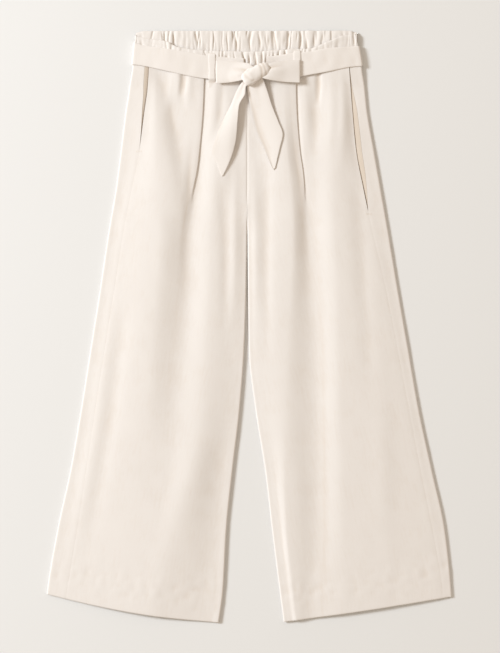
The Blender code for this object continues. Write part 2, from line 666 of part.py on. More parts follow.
def belt_carrier(carrier):
    """A narrow strip, sewn to the band above the belt and to the panel below it, that passes over the belt."""
    belt_top, belt_bottom = (table_curve(BELT_FRONT, "x", name, carrier.x) for name in ("top", "bottom"))
    over = float(belt_middle(carrier.x)) + BELT / 2 + REST_GAP + CARRIER / 2
    band = front_band_middle(carrier.x) + gather_height(carrier.x) + CASING / 2
    above = float(band) + REST_GAP + CARRIER / 2
    climb = min(CARRIER_SLOPE, float(belt_top) - carrier.top - 0.5)
    down = np.array([carrier.top, belt_top - climb, belt_top - 1.0, belt_bottom + 1.0, belt_bottom + CARRIER_SLOPE,
                     carrier.bottom])
    below = drape_height(carrier.x, down[4:]) + REST_GAP + CARRIER / 2
    z = [above, above, over, over, *below]
    across = carrier.x + np.array([-0.5, 0.0, 0.5]) * CARRIER_WIDTH
    return sheet(carrier.name, across, down[:, None], np.array(z)[:, None], CARRIER, IVORY_BELT)


def knot_side(down, side):
    """X of the knot's left or right boundary, as seen from above."""
    c, s = math.cos(KNOT_TILT), math.sin(KNOT_TILT)
    length, width = KNOT_LENGTH / 2, KNOT_WIDTH / 2
    reach = math.hypot(length * s, width * c)
    offset = np.clip(np.asarray(down, float) - KNOT_DOWN, -reach, reach)
    a = (c / length) ** 2 + (s / width) ** 2
    b = 2 * offset * c * s * (1 / width**2 - 1 / length**2)
    free = offset**2 * ((s / length) ** 2 + (c / width) ** 2) - 1
    root = np.sqrt(np.maximum(b * b - 4 * a * free, 0.0))
    return KNOT_X + (-b + side * root) / (2 * a)


def bow_knot():
    """A turn of the belt pulled tight, as a tilted roll with blunt ends."""
    mesh = bpy.data.meshes.new("bow_knot")
    piece = bpy.data.objects.new("bow_knot", mesh)
    bpy.context.scene.collection.objects.link(piece)
    turns, rings = 20, 11
    points, faces = [], []
    for ring in range(1, rings):
        rise = math.pi * ring / rings - math.pi / 2
        for k in range(turns):
            turn = 2 * math.pi * k / turns
            direction = np.array([math.cos(rise) * math.cos(turn), math.cos(rise) * math.sin(turn), math.sin(rise)])
            size = np.sum(np.abs(direction) ** KNOT_ROUNDNESS) ** (-1 / KNOT_ROUNDNESS)
            points.append(direction * size * np.array([KNOT_LENGTH, KNOT_WIDTH, KNOT_HEIGHT]) / 2 * 0.985)
    for ring in range(rings - 2):
        for k in range(turns):
            a, b = ring * turns + k, ring * turns + (k + 1) % turns
            faces.append((a, b, b + turns, a + turns))
    faces.append(tuple(reversed(range(turns))))
    faces.append(tuple(range((rings - 2) * turns, (rings - 1) * turns)))
    mesh.from_pydata([tuple(p * MM) for p in points], [], faces)
    mesh.materials.append(cloth_material("bow_knot_cloth", IVORY_BELT))
    mesh.shade_smooth()
    place = Matrix.Translation((KNOT_X * MM, (TOP_Y - KNOT_DOWN) * MM, KNOT_Z * MM))
    piece.matrix_world = place @ Matrix.Rotation(KNOT_TILT, 4, "Z")
    return piece


def bow_loop(loop):
    """A flattened loop: out from the knot, round the fold at its end, and back above itself."""
    columns = []
    low = loop.underside + BOW / 2
    rows = np.linspace(0, 1, 5)

    def rows_at(share):
        """Top and bottom edges swell quickly from the pinched knot end to the loop's full width."""
        spread = math.sin(math.pi / 2 * min(share, 1.0)) ** 0.8 if share > 0 else 0.0
        top = loop.knot_top + (loop.end_top - loop.knot_top) * spread
        bottom = loop.knot_bottom + (loop.end_bottom - loop.knot_bottom) * spread
        return top + (bottom - top) * rows

    def x_at(share, down):
        start = knot_side(down, loop.side) + loop.side * (REST_GAP + 0.3)
        return start + (loop.end - loop.side * (LOOP_TURN + BOW / 2) - start) * share

    for share in np.linspace(0, 1, LOOP_COLUMNS):
        down = rows_at(share)
        z = low + (KNOT_ENTRY[0] - low) * (1 - smoothstep(share, 0, 0.45))
        columns.append((x_at(share, down), down, z + 0 * rows))
    for turn in (-30, 30):
        angle = math.radians(turn)
        down = rows_at(1.0)
        x = x_at(1.0, down) + loop.side * LOOP_TURN * math.cos(angle)
        columns.append((x, down, low + LOOP_TURN * (1 + math.sin(angle)) + 0 * rows))
    for share in np.linspace(1, 0, LOOP_COLUMNS):
        down = rows_at(share)
        flat = low + 2 * LOOP_TURN
        arch = loop.puff * math.sin(math.pi * share**0.7) * (0.5 + 0.5 * np.sin(math.pi * rows))
        z = flat + (KNOT_ENTRY[1] - flat) * (1 - smoothstep(share, 0, 0.8)) + arch
        columns.append((x_at(share, down), down, z))
    x, down, z = (np.stack(part, axis=1) for part in zip(*columns))
    return sheet(loop.name, x, down, z, BOW, IVORY_BELT)


def bow_tail(name, table):
    """A free end of the belt with its slanting cut, arched near the knot and lying on the front further down."""
    places = np.arange(len(table), dtype=float)
    steps = np.linspace(0, len(table) - 1, 2 * len(table) - 1)
    left_x, left_down, right_x, right_down, lift, arch = (
        curve(steps, places, [getattr(row, field) for row in table])[:, None] for field in TailRow._fields
    )
    across = np.linspace(0, 1, TAIL_COLUMNS)
    x = left_x + (right_x - left_x) * across
    down = left_down + (right_down - left_down) * across
    z = drape_height(x, down) + REST_GAP + BOW / 2 + lift + arch * np.sin(math.pi * across)
    return sheet(name, x, down, z, BOW, IVORY_BELT)


def main():
    for old in list(bpy.data.objects):
        bpy.data.objects.remove(old)
    for leg in LEGS:
        back_panel(leg)
        front_panel(leg)
        pocket_facing(leg)
    back_band()
    front_band()
    belt()
    for carrier in CARRIERS:
        belt_carrier(carrier)
    bow_knot()
    for loop in LOOPS:
        bow_loop(loop)
    for name, table in TAILS.items():
        bow_tail(name, table)


main()
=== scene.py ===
# %% [markdown]
# # Wide-leg trousers with a tie belt, laid flat
#
# The real thing is a pair of pull-on trousers in matte ivory crepe. They lie on a table with the front up:
# two wide legs, a waistband gathered on elastic, a slot for a hand in each side seam, and a narrow belt tied
# in a bow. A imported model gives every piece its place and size. This script dresses it: each plain solid is
# replaced by a thin sheet of cloth with the folds, gathers and creases of the real one, in the same place.
#
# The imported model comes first, because everything that follows is placed inside its box.

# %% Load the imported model
import math
from collections import namedtuple

import bpy
import numpy as np
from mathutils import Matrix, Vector


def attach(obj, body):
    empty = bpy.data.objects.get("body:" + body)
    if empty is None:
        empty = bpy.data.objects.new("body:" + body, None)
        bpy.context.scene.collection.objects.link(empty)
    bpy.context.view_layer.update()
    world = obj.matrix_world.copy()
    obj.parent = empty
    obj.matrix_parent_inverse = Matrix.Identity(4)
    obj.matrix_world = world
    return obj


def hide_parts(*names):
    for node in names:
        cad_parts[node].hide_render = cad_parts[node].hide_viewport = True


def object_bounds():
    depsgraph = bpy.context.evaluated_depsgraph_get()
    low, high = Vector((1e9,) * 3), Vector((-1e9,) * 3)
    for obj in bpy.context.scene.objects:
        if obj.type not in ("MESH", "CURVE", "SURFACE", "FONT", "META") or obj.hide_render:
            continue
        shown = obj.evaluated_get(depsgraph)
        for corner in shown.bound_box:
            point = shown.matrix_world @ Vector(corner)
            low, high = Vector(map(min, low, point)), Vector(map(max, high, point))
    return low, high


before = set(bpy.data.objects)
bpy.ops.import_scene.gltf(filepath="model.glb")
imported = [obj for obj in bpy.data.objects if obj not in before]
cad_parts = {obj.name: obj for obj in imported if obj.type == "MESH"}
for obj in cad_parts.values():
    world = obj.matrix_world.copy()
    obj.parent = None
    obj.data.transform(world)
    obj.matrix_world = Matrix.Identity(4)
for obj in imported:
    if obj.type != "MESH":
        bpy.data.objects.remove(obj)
cad_low, cad_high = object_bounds()
MM = 0.001
TOP_Y = cad_high.y / MM  # the top edge of the back waistband
print("box of the packed model, in millimetres:", [round(v / MM, 1) for v in (*cad_low, *cad_high)])

# %% [markdown]
# ## The camera, the table and the light
#
# The picture was taken from straight above, so the camera looks down the Z axis from three metres, and its
# lens is worked out from the height of the picture at the garment. A flat white table would do, but a very
# pale grey one lets the ivory edge read. One soft lamp stands low at the upper left, as in the picture: folds
# this shallow only show when the light rakes across them. It is a little cool, and the even glow around is
# warm, which keeps the shaded side of each fold creamy rather than grey. A weak lamp at the right fills in.

# %% Camera
PICTURE = (500, 653)  # width and height of the picture, in pixels
PIXEL = 1.6 * MM  # one pixel, measured on the garment
CAMERA_HEIGHT = 3.0
CAMERA_PLACE = (1.2 * MM, 0.4 * MM)
SENSOR = 36.0

camera_data = bpy.data.cameras.new("camera_above")
camera_data.sensor_width = SENSOR
camera_data.lens = SENSOR * CAMERA_HEIGHT / (PICTURE[1] * PIXEL)
camera = bpy.data.objects.new("camera_above", camera_data)
camera.location = (*CAMERA_PLACE, CAMERA_HEIGHT)
bpy.context.scene.collection.objects.link(camera)
bpy.context.scene.camera = camera
print(f"lens {camera_data.lens:.1f} mm from {CAMERA_HEIGHT} m")

# %% Table top
TABLE_SIZE = 4.0
TABLE_DROP = 0.2 * MM  # just under the cloth, so that the two never share a plane

table_mesh = bpy.data.meshes.new("table_top")
half = TABLE_SIZE / 2
table_corners = [(x, y, -TABLE_DROP) for x, y in ((-half, -half), (half, -half), (half, half), (-half, half))]
table_mesh.from_pydata(table_corners, [], [(0, 1, 2, 3)])
table_top = bpy.data.objects.new("table_top", table_mesh)
bpy.context.scene.collection.objects.link(table_top)
print(f"table {TABLE_SIZE} m wide, {TABLE_DROP / MM:.1f} mm below the cloth")

# %% Lamps
KEY_FROM = Vector((-4.6, 1.6, 3.0))  # low, from the upper left
KEY_SIZE, KEY_POWER, KEY_COLOUR = 1.4, 327.0, (0.887, 0.948, 1.0)
FILL_FROM = Vector((1.6, -0.4, 2.8))  # high, from the right
FILL_SIZE, FILL_POWER, FILL_COLOUR = 2.4, 5.5, (1.0, 0.95, 0.88)
GLOW, GLOW_COLOUR = 0.545, (1.0, 0.858, 0.70)


def lamp(name, place, size, power, colour):
    """A square soft lamp that looks at the middle of the garment."""
    data = bpy.data.lights.new(name, "AREA")
    data.size = size
    data.energy = power
    data.color = colour
    piece = bpy.data.objects.new(name, data)
    piece.location = place
    piece.rotation_euler = (-place).to_track_quat("-Z", "Y").to_euler()
    bpy.context.scene.collection.objects.link(piece)


lamp("key_lamp", KEY_FROM, KEY_SIZE, KEY_POWER, KEY_COLOUR)
lamp("fill_lamp", FILL_FROM, FILL_SIZE, FILL_POWER, FILL_COLOUR)
world = bpy.data.worlds.new("studio_glow")
world.use_nodes = True
world.node_tree.nodes["Background"].inputs["Color"].default_value = (*GLOW_COLOUR, 1.0)
world.node_tree.nodes["Background"].inputs["Strength"].default_value = GLOW
bpy.context.scene.world = world
bpy.context.scene.view_settings.view_transform = "Standard"

# %% [markdown]
# ## The finish: crepe
#
# Crepe is woven from hard-twisted yarn that springs back into tiny pebbles, so it looks matte and slightly
# grainy and never shiny. The grain is far too fine to model, and an image would tile, so it is a bump made of
# noise. Two noises, each drawn out along one thread direction and laid across each other, read as a weave.
# The pattern follows the cloth through its own UV map, in metres, so that it turns with a belt end or a loop.
#
# Every cloth here shares the grain, so it is a node group, built once. It gives out a height, for the bump,
# and a change of tone: slow patches, for the small unevenness of any cloth that looks undyed, and slubs, the
# faint streaks that thicker stretches of yarn leave along it.

# %% Small helpers for node trees
def add_node(tree, kind, **settings):
    node = tree.nodes.new(kind)
    for name, value in settings.items():
        setattr(node, name, value)
    return node


def link(tree, output, target):
    tree.links.new(output, target)


def new_group(name, kind, inputs, outputs):
    """A node group with named sockets. Each input is (name, kind of socket, value or None)."""
    tree = bpy.data.node_groups.new(name, kind)
    for socket_name, socket_type, value in inputs:
        socket = tree.interface.new_socket(socket_name, in_out="INPUT", socket_type=socket_type)
        if value is not None:
            socket.default_value = value
    for socket_name, socket_type in outputs:
        tree.interface.new_socket(socket_name, in_out="OUTPUT", socket_type=socket_type)
    return tree, add_node(tree, "NodeGroupInput"), add_node(tree, "NodeGroupOutput")


# %% The grain of crepe, as a node group
THREAD_DETAIL, SLUB_DETAIL, THREAD_ROUGHNESS = 1.5, 2.0, 0.55
PATCH_DETAIL, PATCH_ROUGHNESS = 4.0, 0.6


def crepe_grain_group():
    """Pebbled weave: two noises, each drawn out along one thread direction, and a change of tone."""
    tree, entry, result = new_group(
        "crepe_grain",
        "ShaderNodeTree",
        [
            ("Cloth position", "NodeSocketVector", None),
            ("Threads per metre", "NodeSocketFloat", 1400.0),
            ("Thread stretch", "NodeSocketFloat", 3.2),
            ("Tone patches per metre", "NodeSocketFloat", 26.0),
            ("Slubs per metre", "NodeSocketFloat", 260.0),
            ("Slub stretch", "NodeSocketFloat", 7.0),
        ],
        [("Height", "NodeSocketFloat"), ("Tone", "NodeSocketFloat")],
    )

    def drawn_noise(scale, stretch, along, detail):
        """Noise that is drawn out along one direction of the cloth: 0 for across, 1 for along."""
        squeeze = add_node(tree, "ShaderNodeCombineXYZ")
        divide = add_node(tree, "ShaderNodeMath", operation="DIVIDE")
        link(tree, entry.outputs[scale], divide.inputs[0])
        link(tree, entry.outputs[stretch], divide.inputs[1])
        link(tree, divide.outputs[0], squeeze.inputs[along])
        link(tree, entry.outputs[scale], squeeze.inputs[1 - along])
        place = add_node(tree, "ShaderNodeVectorMath", operation="MULTIPLY")
        link(tree, entry.outputs["Cloth position"], place.inputs[0])
        link(tree, squeeze.outputs[0], place.inputs[1])
        noise = add_node(tree, "ShaderNodeTexNoise", noise_dimensions="2D")
        noise.inputs["Scale"].default_value = 1.0
        noise.inputs["Detail"].default_value = detail
        noise.inputs["Roughness"].default_value = THREAD_ROUGHNESS
        link(tree, place.outputs[0], noise.inputs["Vector"])
        return noise.outputs[0]

    crossing = add_node(tree, "ShaderNodeMath", operation="MAXIMUM")
    for along, socket in enumerate(crossing.inputs[:2]):
        link(tree, drawn_noise("Threads per metre", "Thread stretch", along, THREAD_DETAIL), socket)
    link(tree, crossing.outputs[0], result.inputs["Height"])
    tone = add_node(tree, "ShaderNodeTexNoise", noise_dimensions="2D")
    tone.inputs["Detail"].default_value = PATCH_DETAIL
    tone.inputs["Roughness"].default_value = PATCH_ROUGHNESS
    link(tree, entry.outputs["Cloth position"], tone.inputs["Vector"])
    link(tree, entry.outputs["Tone patches per metre"], tone.inputs["Scale"])
    both = add_node(tree, "ShaderNodeMath", operation="ADD")
    link(tree, tone.outputs[0], both.inputs[0])
    link(tree, drawn_noise("Slubs per metre", "Slub stretch", 1, SLUB_DETAIL), both.inputs[1])
    mean = add_node(tree, "ShaderNodeMath", operation="MULTIPLY")
    link(tree, both.outputs[0], mean.inputs[0])
    mean.inputs[1].default_value = 0.5
    link(tree, mean.outputs[0], result.inputs["Tone"])
    return tree


CREPE_GRAIN = crepe_grain_group()
print("group", CREPE_GRAIN.name, "with", len(CREPE_GRAIN.nodes), "nodes")

# %% [markdown]
# Cloth looks deeper and warmer where it dips, because light goes from fold to fold there before it comes out.
# The render does part of that by itself. The rest is painted shade: a second group mixes a darker, warmer
# colour into the cloth's own by an attribute of the mesh that is 0 on a crest and 1 at the bottom of a
# crease. Each sheet measures its own hollows when it is made.

# %% Painted shade in the hollows, as a node group
MIX_A, MIX_B, MIX_RESULT = 6, 7, 2  # a Mix node's colour sockets go by number: their names aren't unique


def painted_hollow_shade_group():
    """The crest's colour on level cloth, turning to a painted shade colour as the cloth dips."""
    tree, entry, result = new_group(
        "painted_hollow_shade",
        "ShaderNodeTree",
        [
            ("Crest colour", "NodeSocketColor", (1, 1, 1, 1)),
            ("Painted shade colour", "NodeSocketColor", (1, 1, 1, 1)),
            ("Hollow", "NodeSocketFloat", 0.0),
            ("Tone", "NodeSocketFloat", 0.5),
            ("Tone share", "NodeSocketFloat", 0.55),
        ],
        [("Colour", "NodeSocketColor")],
    )
    centred = add_node(tree, "ShaderNodeMath", operation="SUBTRACT")
    link(tree, entry.outputs["Tone"], centred.inputs[0])
    centred.inputs[1].default_value = 0.5
    share = add_node(tree, "ShaderNodeMath", operation="MULTIPLY_ADD", use_clamp=True)
    link(tree, centred.outputs[0], share.inputs[0])
    link(tree, entry.outputs["Tone share"], share.inputs[1])
    link(tree, entry.outputs["Hollow"], share.inputs[2])
    mix = add_node(tree, "ShaderNodeMix", data_type="RGBA")
    link(tree, share.outputs[0], mix.inputs["Factor"])
    link(tree, entry.outputs["Crest colour"], mix.inputs[MIX_A])
    link(tree, entry.outputs["Painted shade colour"], mix.inputs[MIX_B])
    link(tree, mix.outputs[MIX_RESULT], result.inputs["Colour"])
    return tree


PAINTED_HOLLOW_SHADE = painted_hollow_shade_group()
print("group", PAINTED_HOLLOW_SHADE.name, "with", len(PAINTED_HOLLOW_SHADE.nodes), "nodes")

# %% The cloth materials
Finish = namedtuple("Finish", "crest hollow threads grain_depth roughness sheen")
# The second colour of each finish is painted shade: darker and warmer, mixed in where the cloth dips.
FINISHES = {
    "ivory_crepe": Finish((0.818, 0.777, 0.747), (0.68, 0.575, 0.475), 1400.0, 0.32, 0.86, 0.12),
    "ivory_crepe_belt": Finish((0.835, 0.790, 0.756), (0.68, 0.575, 0.475), 1600.0, 0.25, 0.82, 0.14),
    # The pocket facing's crepe is a browner copy of the same cloth: painted shade all over it.
    "ivory_crepe_inside": Finish((0.74, 0.66, 0.575), (0.58, 0.475, 0.38), 1400.0, 0.25, 0.88, 0.08),
}
SHEEN_ROUGHNESS, SPECULAR = 0.6, 0.25
GRAIN_HEIGHT = 0.25 * MM


def crepe(name, finish):
    """One cloth material: its own colour, its painted shade colour and its grain, put through the shared
    groups.
    """
    material = bpy.data.materials.new(name)
    material.use_nodes = True
    tree = material.node_tree
    shader = tree.nodes["Principled BSDF"]
    shader.inputs["Roughness"].default_value = finish.roughness
    shader.inputs["Sheen Weight"].default_value = finish.sheen
    shader.inputs["Sheen Roughness"].default_value = SHEEN_ROUGHNESS
    shader.inputs["Specular IOR Level"].default_value = SPECULAR
    cloth_position = add_node(tree, "ShaderNodeUVMap", uv_map="cloth")
    grain = add_node(tree, "ShaderNodeGroup", node_tree=CREPE_GRAIN)
    grain.inputs["Threads per metre"].default_value = finish.threads
    link(tree, cloth_position.outputs[0], grain.inputs["Cloth position"])
    # A mesh attribute says how much painted shade each point gets.
    hollow = add_node(tree, "ShaderNodeAttribute", attribute_name="hollow")
    tint = add_node(tree, "ShaderNodeGroup", node_tree=PAINTED_HOLLOW_SHADE)
    tint.inputs["Crest colour"].default_value = (*finish.crest, 1.0)
    tint.inputs["Painted shade colour"].default_value = (*finish.hollow, 1.0)
    link(tree, hollow.outputs["Fac"], tint.inputs["Hollow"])
    link(tree, grain.outputs["Tone"], tint.inputs["Tone"])
    link(tree, tint.outputs["Colour"], shader.inputs["Base Color"])
    bump = add_node(tree, "ShaderNodeBump")
    bump.inputs["Strength"].default_value = finish.grain_depth
    bump.inputs["Distance"].default_value = GRAIN_HEIGHT
    link(tree, grain.outputs["Height"], bump.inputs["Height"])
    link(tree, bump.outputs["Normal"], shader.inputs["Normal"])
    return material


MATERIALS = {name: crepe(name, finish) for name, finish in FINISHES.items()}
print("cloth finishes:", list(MATERIALS))

# %% Thread and table finishes
FIBRES_PER_METRE = 2500.0
THREAD_SHADED, THREAD_LIT = (0.70, 0.62, 0.53, 1.0), (0.86, 0.80, 0.73, 1.0)
THREAD_FINISH, TABLE_FINISH = 0.55, 0.9  # roughness of each
TABLE_COLOUR = (0.80, 0.80, 0.80, 1.0)


def thread_material():
    """Polyester thread, a little smoother and brighter than the crepe that it sinks into."""
    material = bpy.data.materials.new("ivory_thread")
    material.use_nodes = True
    tree = material.node_tree
    shader = tree.nodes["Principled BSDF"]
    shader.inputs["Roughness"].default_value = THREAD_FINISH
    place = add_node(tree, "ShaderNodeTexCoord")
    fibres = add_node(tree, "ShaderNodeTexNoise")
    fibres.inputs["Scale"].default_value = FIBRES_PER_METRE
    ramp = add_node(tree, "ShaderNodeValToRGB")
    ramp.color_ramp.elements[0].color = THREAD_SHADED
    ramp.color_ramp.elements[1].color = THREAD_LIT
    link(tree, place.outputs["Object"], fibres.inputs["Vector"])
    link(tree, fibres.outputs[0], ramp.inputs[0])
    link(tree, ramp.outputs["Color"], shader.inputs["Base Color"])
    return material


def table_material():
    material = bpy.data.materials.new("pale_table")
    material.use_nodes = True
    shader = material.node_tree.nodes["Principled BSDF"]
    shader.inputs["Base Color"].default_value = TABLE_COLOUR
    shader.inputs["Roughness"].default_value = TABLE_FINISH
    return material


THREAD = thread_material()
table_top.data.materials.append(table_material())
print("other finishes:", THREAD.name, table_top.data.materials[0].name)

# %% [markdown]
# ## Drawing with smooth lines
#
# Cloth has no straight edges, so nearly every size here changes smoothly from one place to the next. Each is
# given at a few places only, where a tape measure would be laid, and the rest comes from a curve through
# them. A plain cubic curve would swing past its points and make ripples that aren't there. This one never
# does: between two points it only rises or only falls, so each crest and valley is exactly where it was put.

# %% Curves through a few measured points
def smoothstep(value, start, end):
    """0 before start, 1 after end, and an S-shaped rise between them."""
    t = np.clip((np.asarray(value, float) - start) / (end - start), 0.0, 1.0)
    return t * t * (3 - 2 * t)


def curve(at, knots, values, flat_ends=False):
    """A smooth curve through the knots that never overshoots them.

    Each knot and value may be a number or an array like at.
    """
    at = np.asarray(at, float)
    knots = np.array([np.broadcast_to(k, at.shape) for k in knots], float)
    values = np.array([np.broadcast_to(v, at.shape) for v in values], float)
    step = np.diff(knots, axis=0)
    rise = np.diff(values, axis=0) / step
    slope = np.zeros_like(values)
    same_way = rise[:-1] * rise[1:] > 0
    total = np.where(same_way, rise[:-1] + rise[1:], 1.0)
    slope[1:-1] = np.where(same_way, 2 * rise[:-1] * rise[1:] / total, 0.0)
    if not flat_ends:
        slope[0], slope[-1] = rise[0], rise[-1]
    at = np.clip(at, knots[0], knots[-1])
    result = values[0].copy()
    for k in range(len(step)):
        t = np.clip((at - knots[k]) / step[k], 0.0, 1.0)
        cubic = (
            values[k] * (1 + 2 * t) * (1 - t) ** 2
            + values[k + 1] * t * t * (3 - 2 * t)
            + slope[k] * step[k] * t * (1 - t) ** 2
            - slope[k + 1] * step[k] * t * t * (1 - t)
        )
        result = np.where(at >= knots[k], cubic, result)
    return result


def table_curve(rows, key, name, at):
    """One named column of a table as a smooth curve over its key column."""
    return curve(at, [getattr(row, key) for row in rows], [getattr(row, name) for row in rows])


HALFWAY = curve([0.5, 1.5], [0, 1, 2], [0, 1, 1])
print("a curve through 0, 1 and 1, halfway along each stretch:", HALFWAY.round(3).tolist())

# %% [markdown]
# Real cloth is never quite even. A few dozen low waves that run every way, added up, give the slight
# unevenness of pressed crepe. The seed is fixed, so the cloth comes out the same each time.

# %% Slight unevenness
PEAK = 1.4  # such a sum seldom rises past this many times the square root of its waves


def uneven(x, y, shortest, longest, seed, waves=28):
    """A sum of plane waves between two wavelengths, in millimetres, about 1 high at most."""
    random = np.random.default_rng(seed)
    total = np.zeros(np.broadcast(x, y).shape)
    for _ in range(waves):
        length = math.exp(random.uniform(math.log(shortest), math.log(longest)))
        turn, start = random.uniform(0, 2 * math.pi, 2)
        total += np.sin(2 * math.pi * (x * math.cos(turn) + y * math.sin(turn)) / length + start)
    return total / (PEAK * math.sqrt(waves))


# %% [markdown]
# ## A sheet of cloth
#
# Every piece here is a sheet, and every sheet is a grid of points with rows that run down the garment and
# columns that run across it. The helper below turns such a grid into a mesh with a UV map in metres, measured
# along the cloth, and with painted shade in its hollows. A Solidify modifier then gives it the thickness of
# the
# crepe. Each sheet also says what it was cut from, so that its area can be compared with that of the flat
# cut:
# cloth bends, but it hardly stretches.

# %% From a grid to a sheet
Cut = namedtuple("Cut", "width length area held rests_on")
BORDER = 0.05  # how far into the first cell the extra line of a border lies


def along_grid(points, axis):
    """Distance from the first row or column to each point, measured along the cloth."""
    steps = np.linalg.norm(np.diff(points, axis=axis), axis=2)
    distance = np.cumsum(steps, axis=axis)
    return np.insert(distance, 0, 0.0, axis=axis)


def painted_shade_mask(z, deep, passes=14):
    """Painted shade: 0 where the sheet is level or proud of its surroundings, 1 where it lies deep mm below
    them.
    """
    around = z.copy()
    for _ in range(passes):
        padded = np.pad(around, 1, mode="edge")
        beside = 2 * around + padded[1:-1, :-2] + padded[1:-1, 2:] + padded[:-2, 1:-1] + padded[2:, 1:-1]
        around = beside / 6
    return np.clip((around - z) / deep, 0.0, 1.0)


def close_borders(grid):
    """The grid with one more line just inside each border, so that the smooth shading turns only there."""
    for axis in (0, 1):
        lines = np.moveaxis(grid, axis, 0)
        first, last = (lines[a] + (lines[b] - lines[a]) * BORDER for a, b in ((0, 1), (-1, -2)))
        grid = np.moveaxis(np.concatenate([lines[:1], [first], lines[1:-1], [last], lines[-1:]]), 0, axis)
    return grid


def lay_sheet(name, node, x, down, z, wall, finish, cut, deep=1.6, hollow=None):
    """A sheet of cloth through the grid (x, down, z), in millimetres, in place of one node of the model."""
    x, down, z = np.broadcast_arrays(x, down, z)
    # how much painted shade each point gets: from the sheet's hollows, unless it is given
    depth = painted_shade_mask(z, deep) if hollow is None else np.broadcast_to(hollow, z.shape)
    x, down, z, depth = (close_borders(grid) for grid in (x, down, z, depth))
    rows, columns = x.shape
    points = np.stack([x, TOP_Y - down, z], axis=-1) * MM
    corner = np.arange(rows * columns).reshape(rows, columns)
    corners = [corner[:-1, :-1], corner[1:, :-1], corner[1:, 1:], corner[:-1, 1:]]
    faces = np.stack(corners, axis=-1).reshape(-1, 4)
    facing = np.cross(points[1:, :-1] - points[:-1, :-1], points[:-1, 1:] - points[:-1, :-1])
    if facing[..., 2].sum() < 0:
        faces = faces[:, ::-1]
    mesh = bpy.data.meshes.new(name)
    mesh.from_pydata(points.reshape(-1, 3).tolist(), [], faces.tolist())
    across, along = along_grid(points, 1), along_grid(points, 0)
    places = np.stack([across, along], axis=-1).reshape(-1, 2)
    uv = mesh.uv_layers.new(name="cloth")
    uv.data.foreach_set("uv", places[faces.reshape(-1)].astype(np.float32).ravel())
    shade = mesh.attributes.new("hollow", "FLOAT", "POINT")
    shade.data.foreach_set("value", depth.astype(np.float32).ravel())
    mesh.materials.append(MATERIALS[finish])
    mesh.shade_smooth()
    piece = bpy.data.objects.new(name, mesh)
    bpy.context.scene.collection.objects.link(piece)
    thicken = piece.modifiers.new("wall", "SOLIDIFY")
    thicken.thickness = wall * MM
    thicken.offset = 0.0
    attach(piece, "root")
    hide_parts(node)
    laid, flat = np.linalg.norm(facing, axis=2).sum(), cut.area or cut.width * cut.length
    print(f"{name}: {rows} x {columns} points, {laid:.4f} square metres of {flat:.4f}")


# %% [markdown]
# ## The legs
#
# Each leg is a front and a back panel. The back one lies flat, turns up round the side and meets the front at
# a side seam that shows two fingers' width inside the outline. Width is what makes these trousers, and it
# falls in long folds: from the outer crest the cloth sinks into a valley under the pleat, climbs a ridge
# nearer the middle, and rounds off at the inner edge. Those lines are measured at least every hundred
# millimetres.
#
# "down" is measured from the top edge of the back waistband, and "out" sideways from the middle line on each
# leg. "left" and "right" are the viewer's. Heights are those of the upper face of the cloth.

# %% Lines and heights of the two legs
Section = namedtuple(
    "Section", "down outer seam seam_z crest crest_z valley valley_z ridge ridge_z inner inner_z"
)

LEFT_SECTIONS = [
    Section(6, 184.0, 160, 4.6, 147, 5.4, 74, 3.0, 52, 6.1, 3.3, 5.2),
    Section(46, 187.6, 160, 4.6, 147, 5.4, 74, 3.0, 52, 6.1, 3.3, 5.2),
    Section(94, 192.4, 162.6, 4.8, 148, 6.5, 75.5, 3.3, 52, 6.5, 3.3, 4.8),
    Section(126, 197.2, 167, 5.0, 148, 7.2, 76.8, 3.2, 52, 6.7, 3.3, 4.7),
    Section(190, 205.2, 175.4, 5.2, 146, 8.3, 82.3, 3.1, 52, 6.6, 3.3, 4.8),
    Section(254, 213.4, 188.4, 5.3, 145, 9.2, 89.8, 3.0, 53, 6.7, 3.3, 5.0),
    Section(318, 224.4, 200.8, 5.4, 145, 9.5, 97, 3.1, 58, 6.7, 3.5, 5.0),
    Section(414, 238.8, 216.2, 5.1, 149, 9.5, 100, 3.8, 62, 7.1, 4.8, 5.0),
    Section(510, 254.0, 231.6, 4.9, 157, 9.4, 106, 5.2, 68, 7.9, 7.9, 4.8),
    Section(606, 269.2, 246.6, 4.9, 161, 9.2, 118, 6.8, 76, 8.7, 15.1, 4.8),
    Section(702, 286.0, 261.0, 5.2, 166, 8.8, 130, 8.6, 96, 10.2, 26.3, 4.3),
    Section(798, 306.8, 275.5, 4.9, 180, 8.4, 150, 9.0, 124, 9.8, 36.1, 4.1),
    Section(894, 323.0, 291.6, 4.5, 204, 7.2, 178, 8.0, 152, 8.6, 41.4, 3.9),
    Section(946, 328.0, 299.0, 4.3, 215, 6.4, 188, 7.0, 160, 7.4, 48.4, 3.8),
]

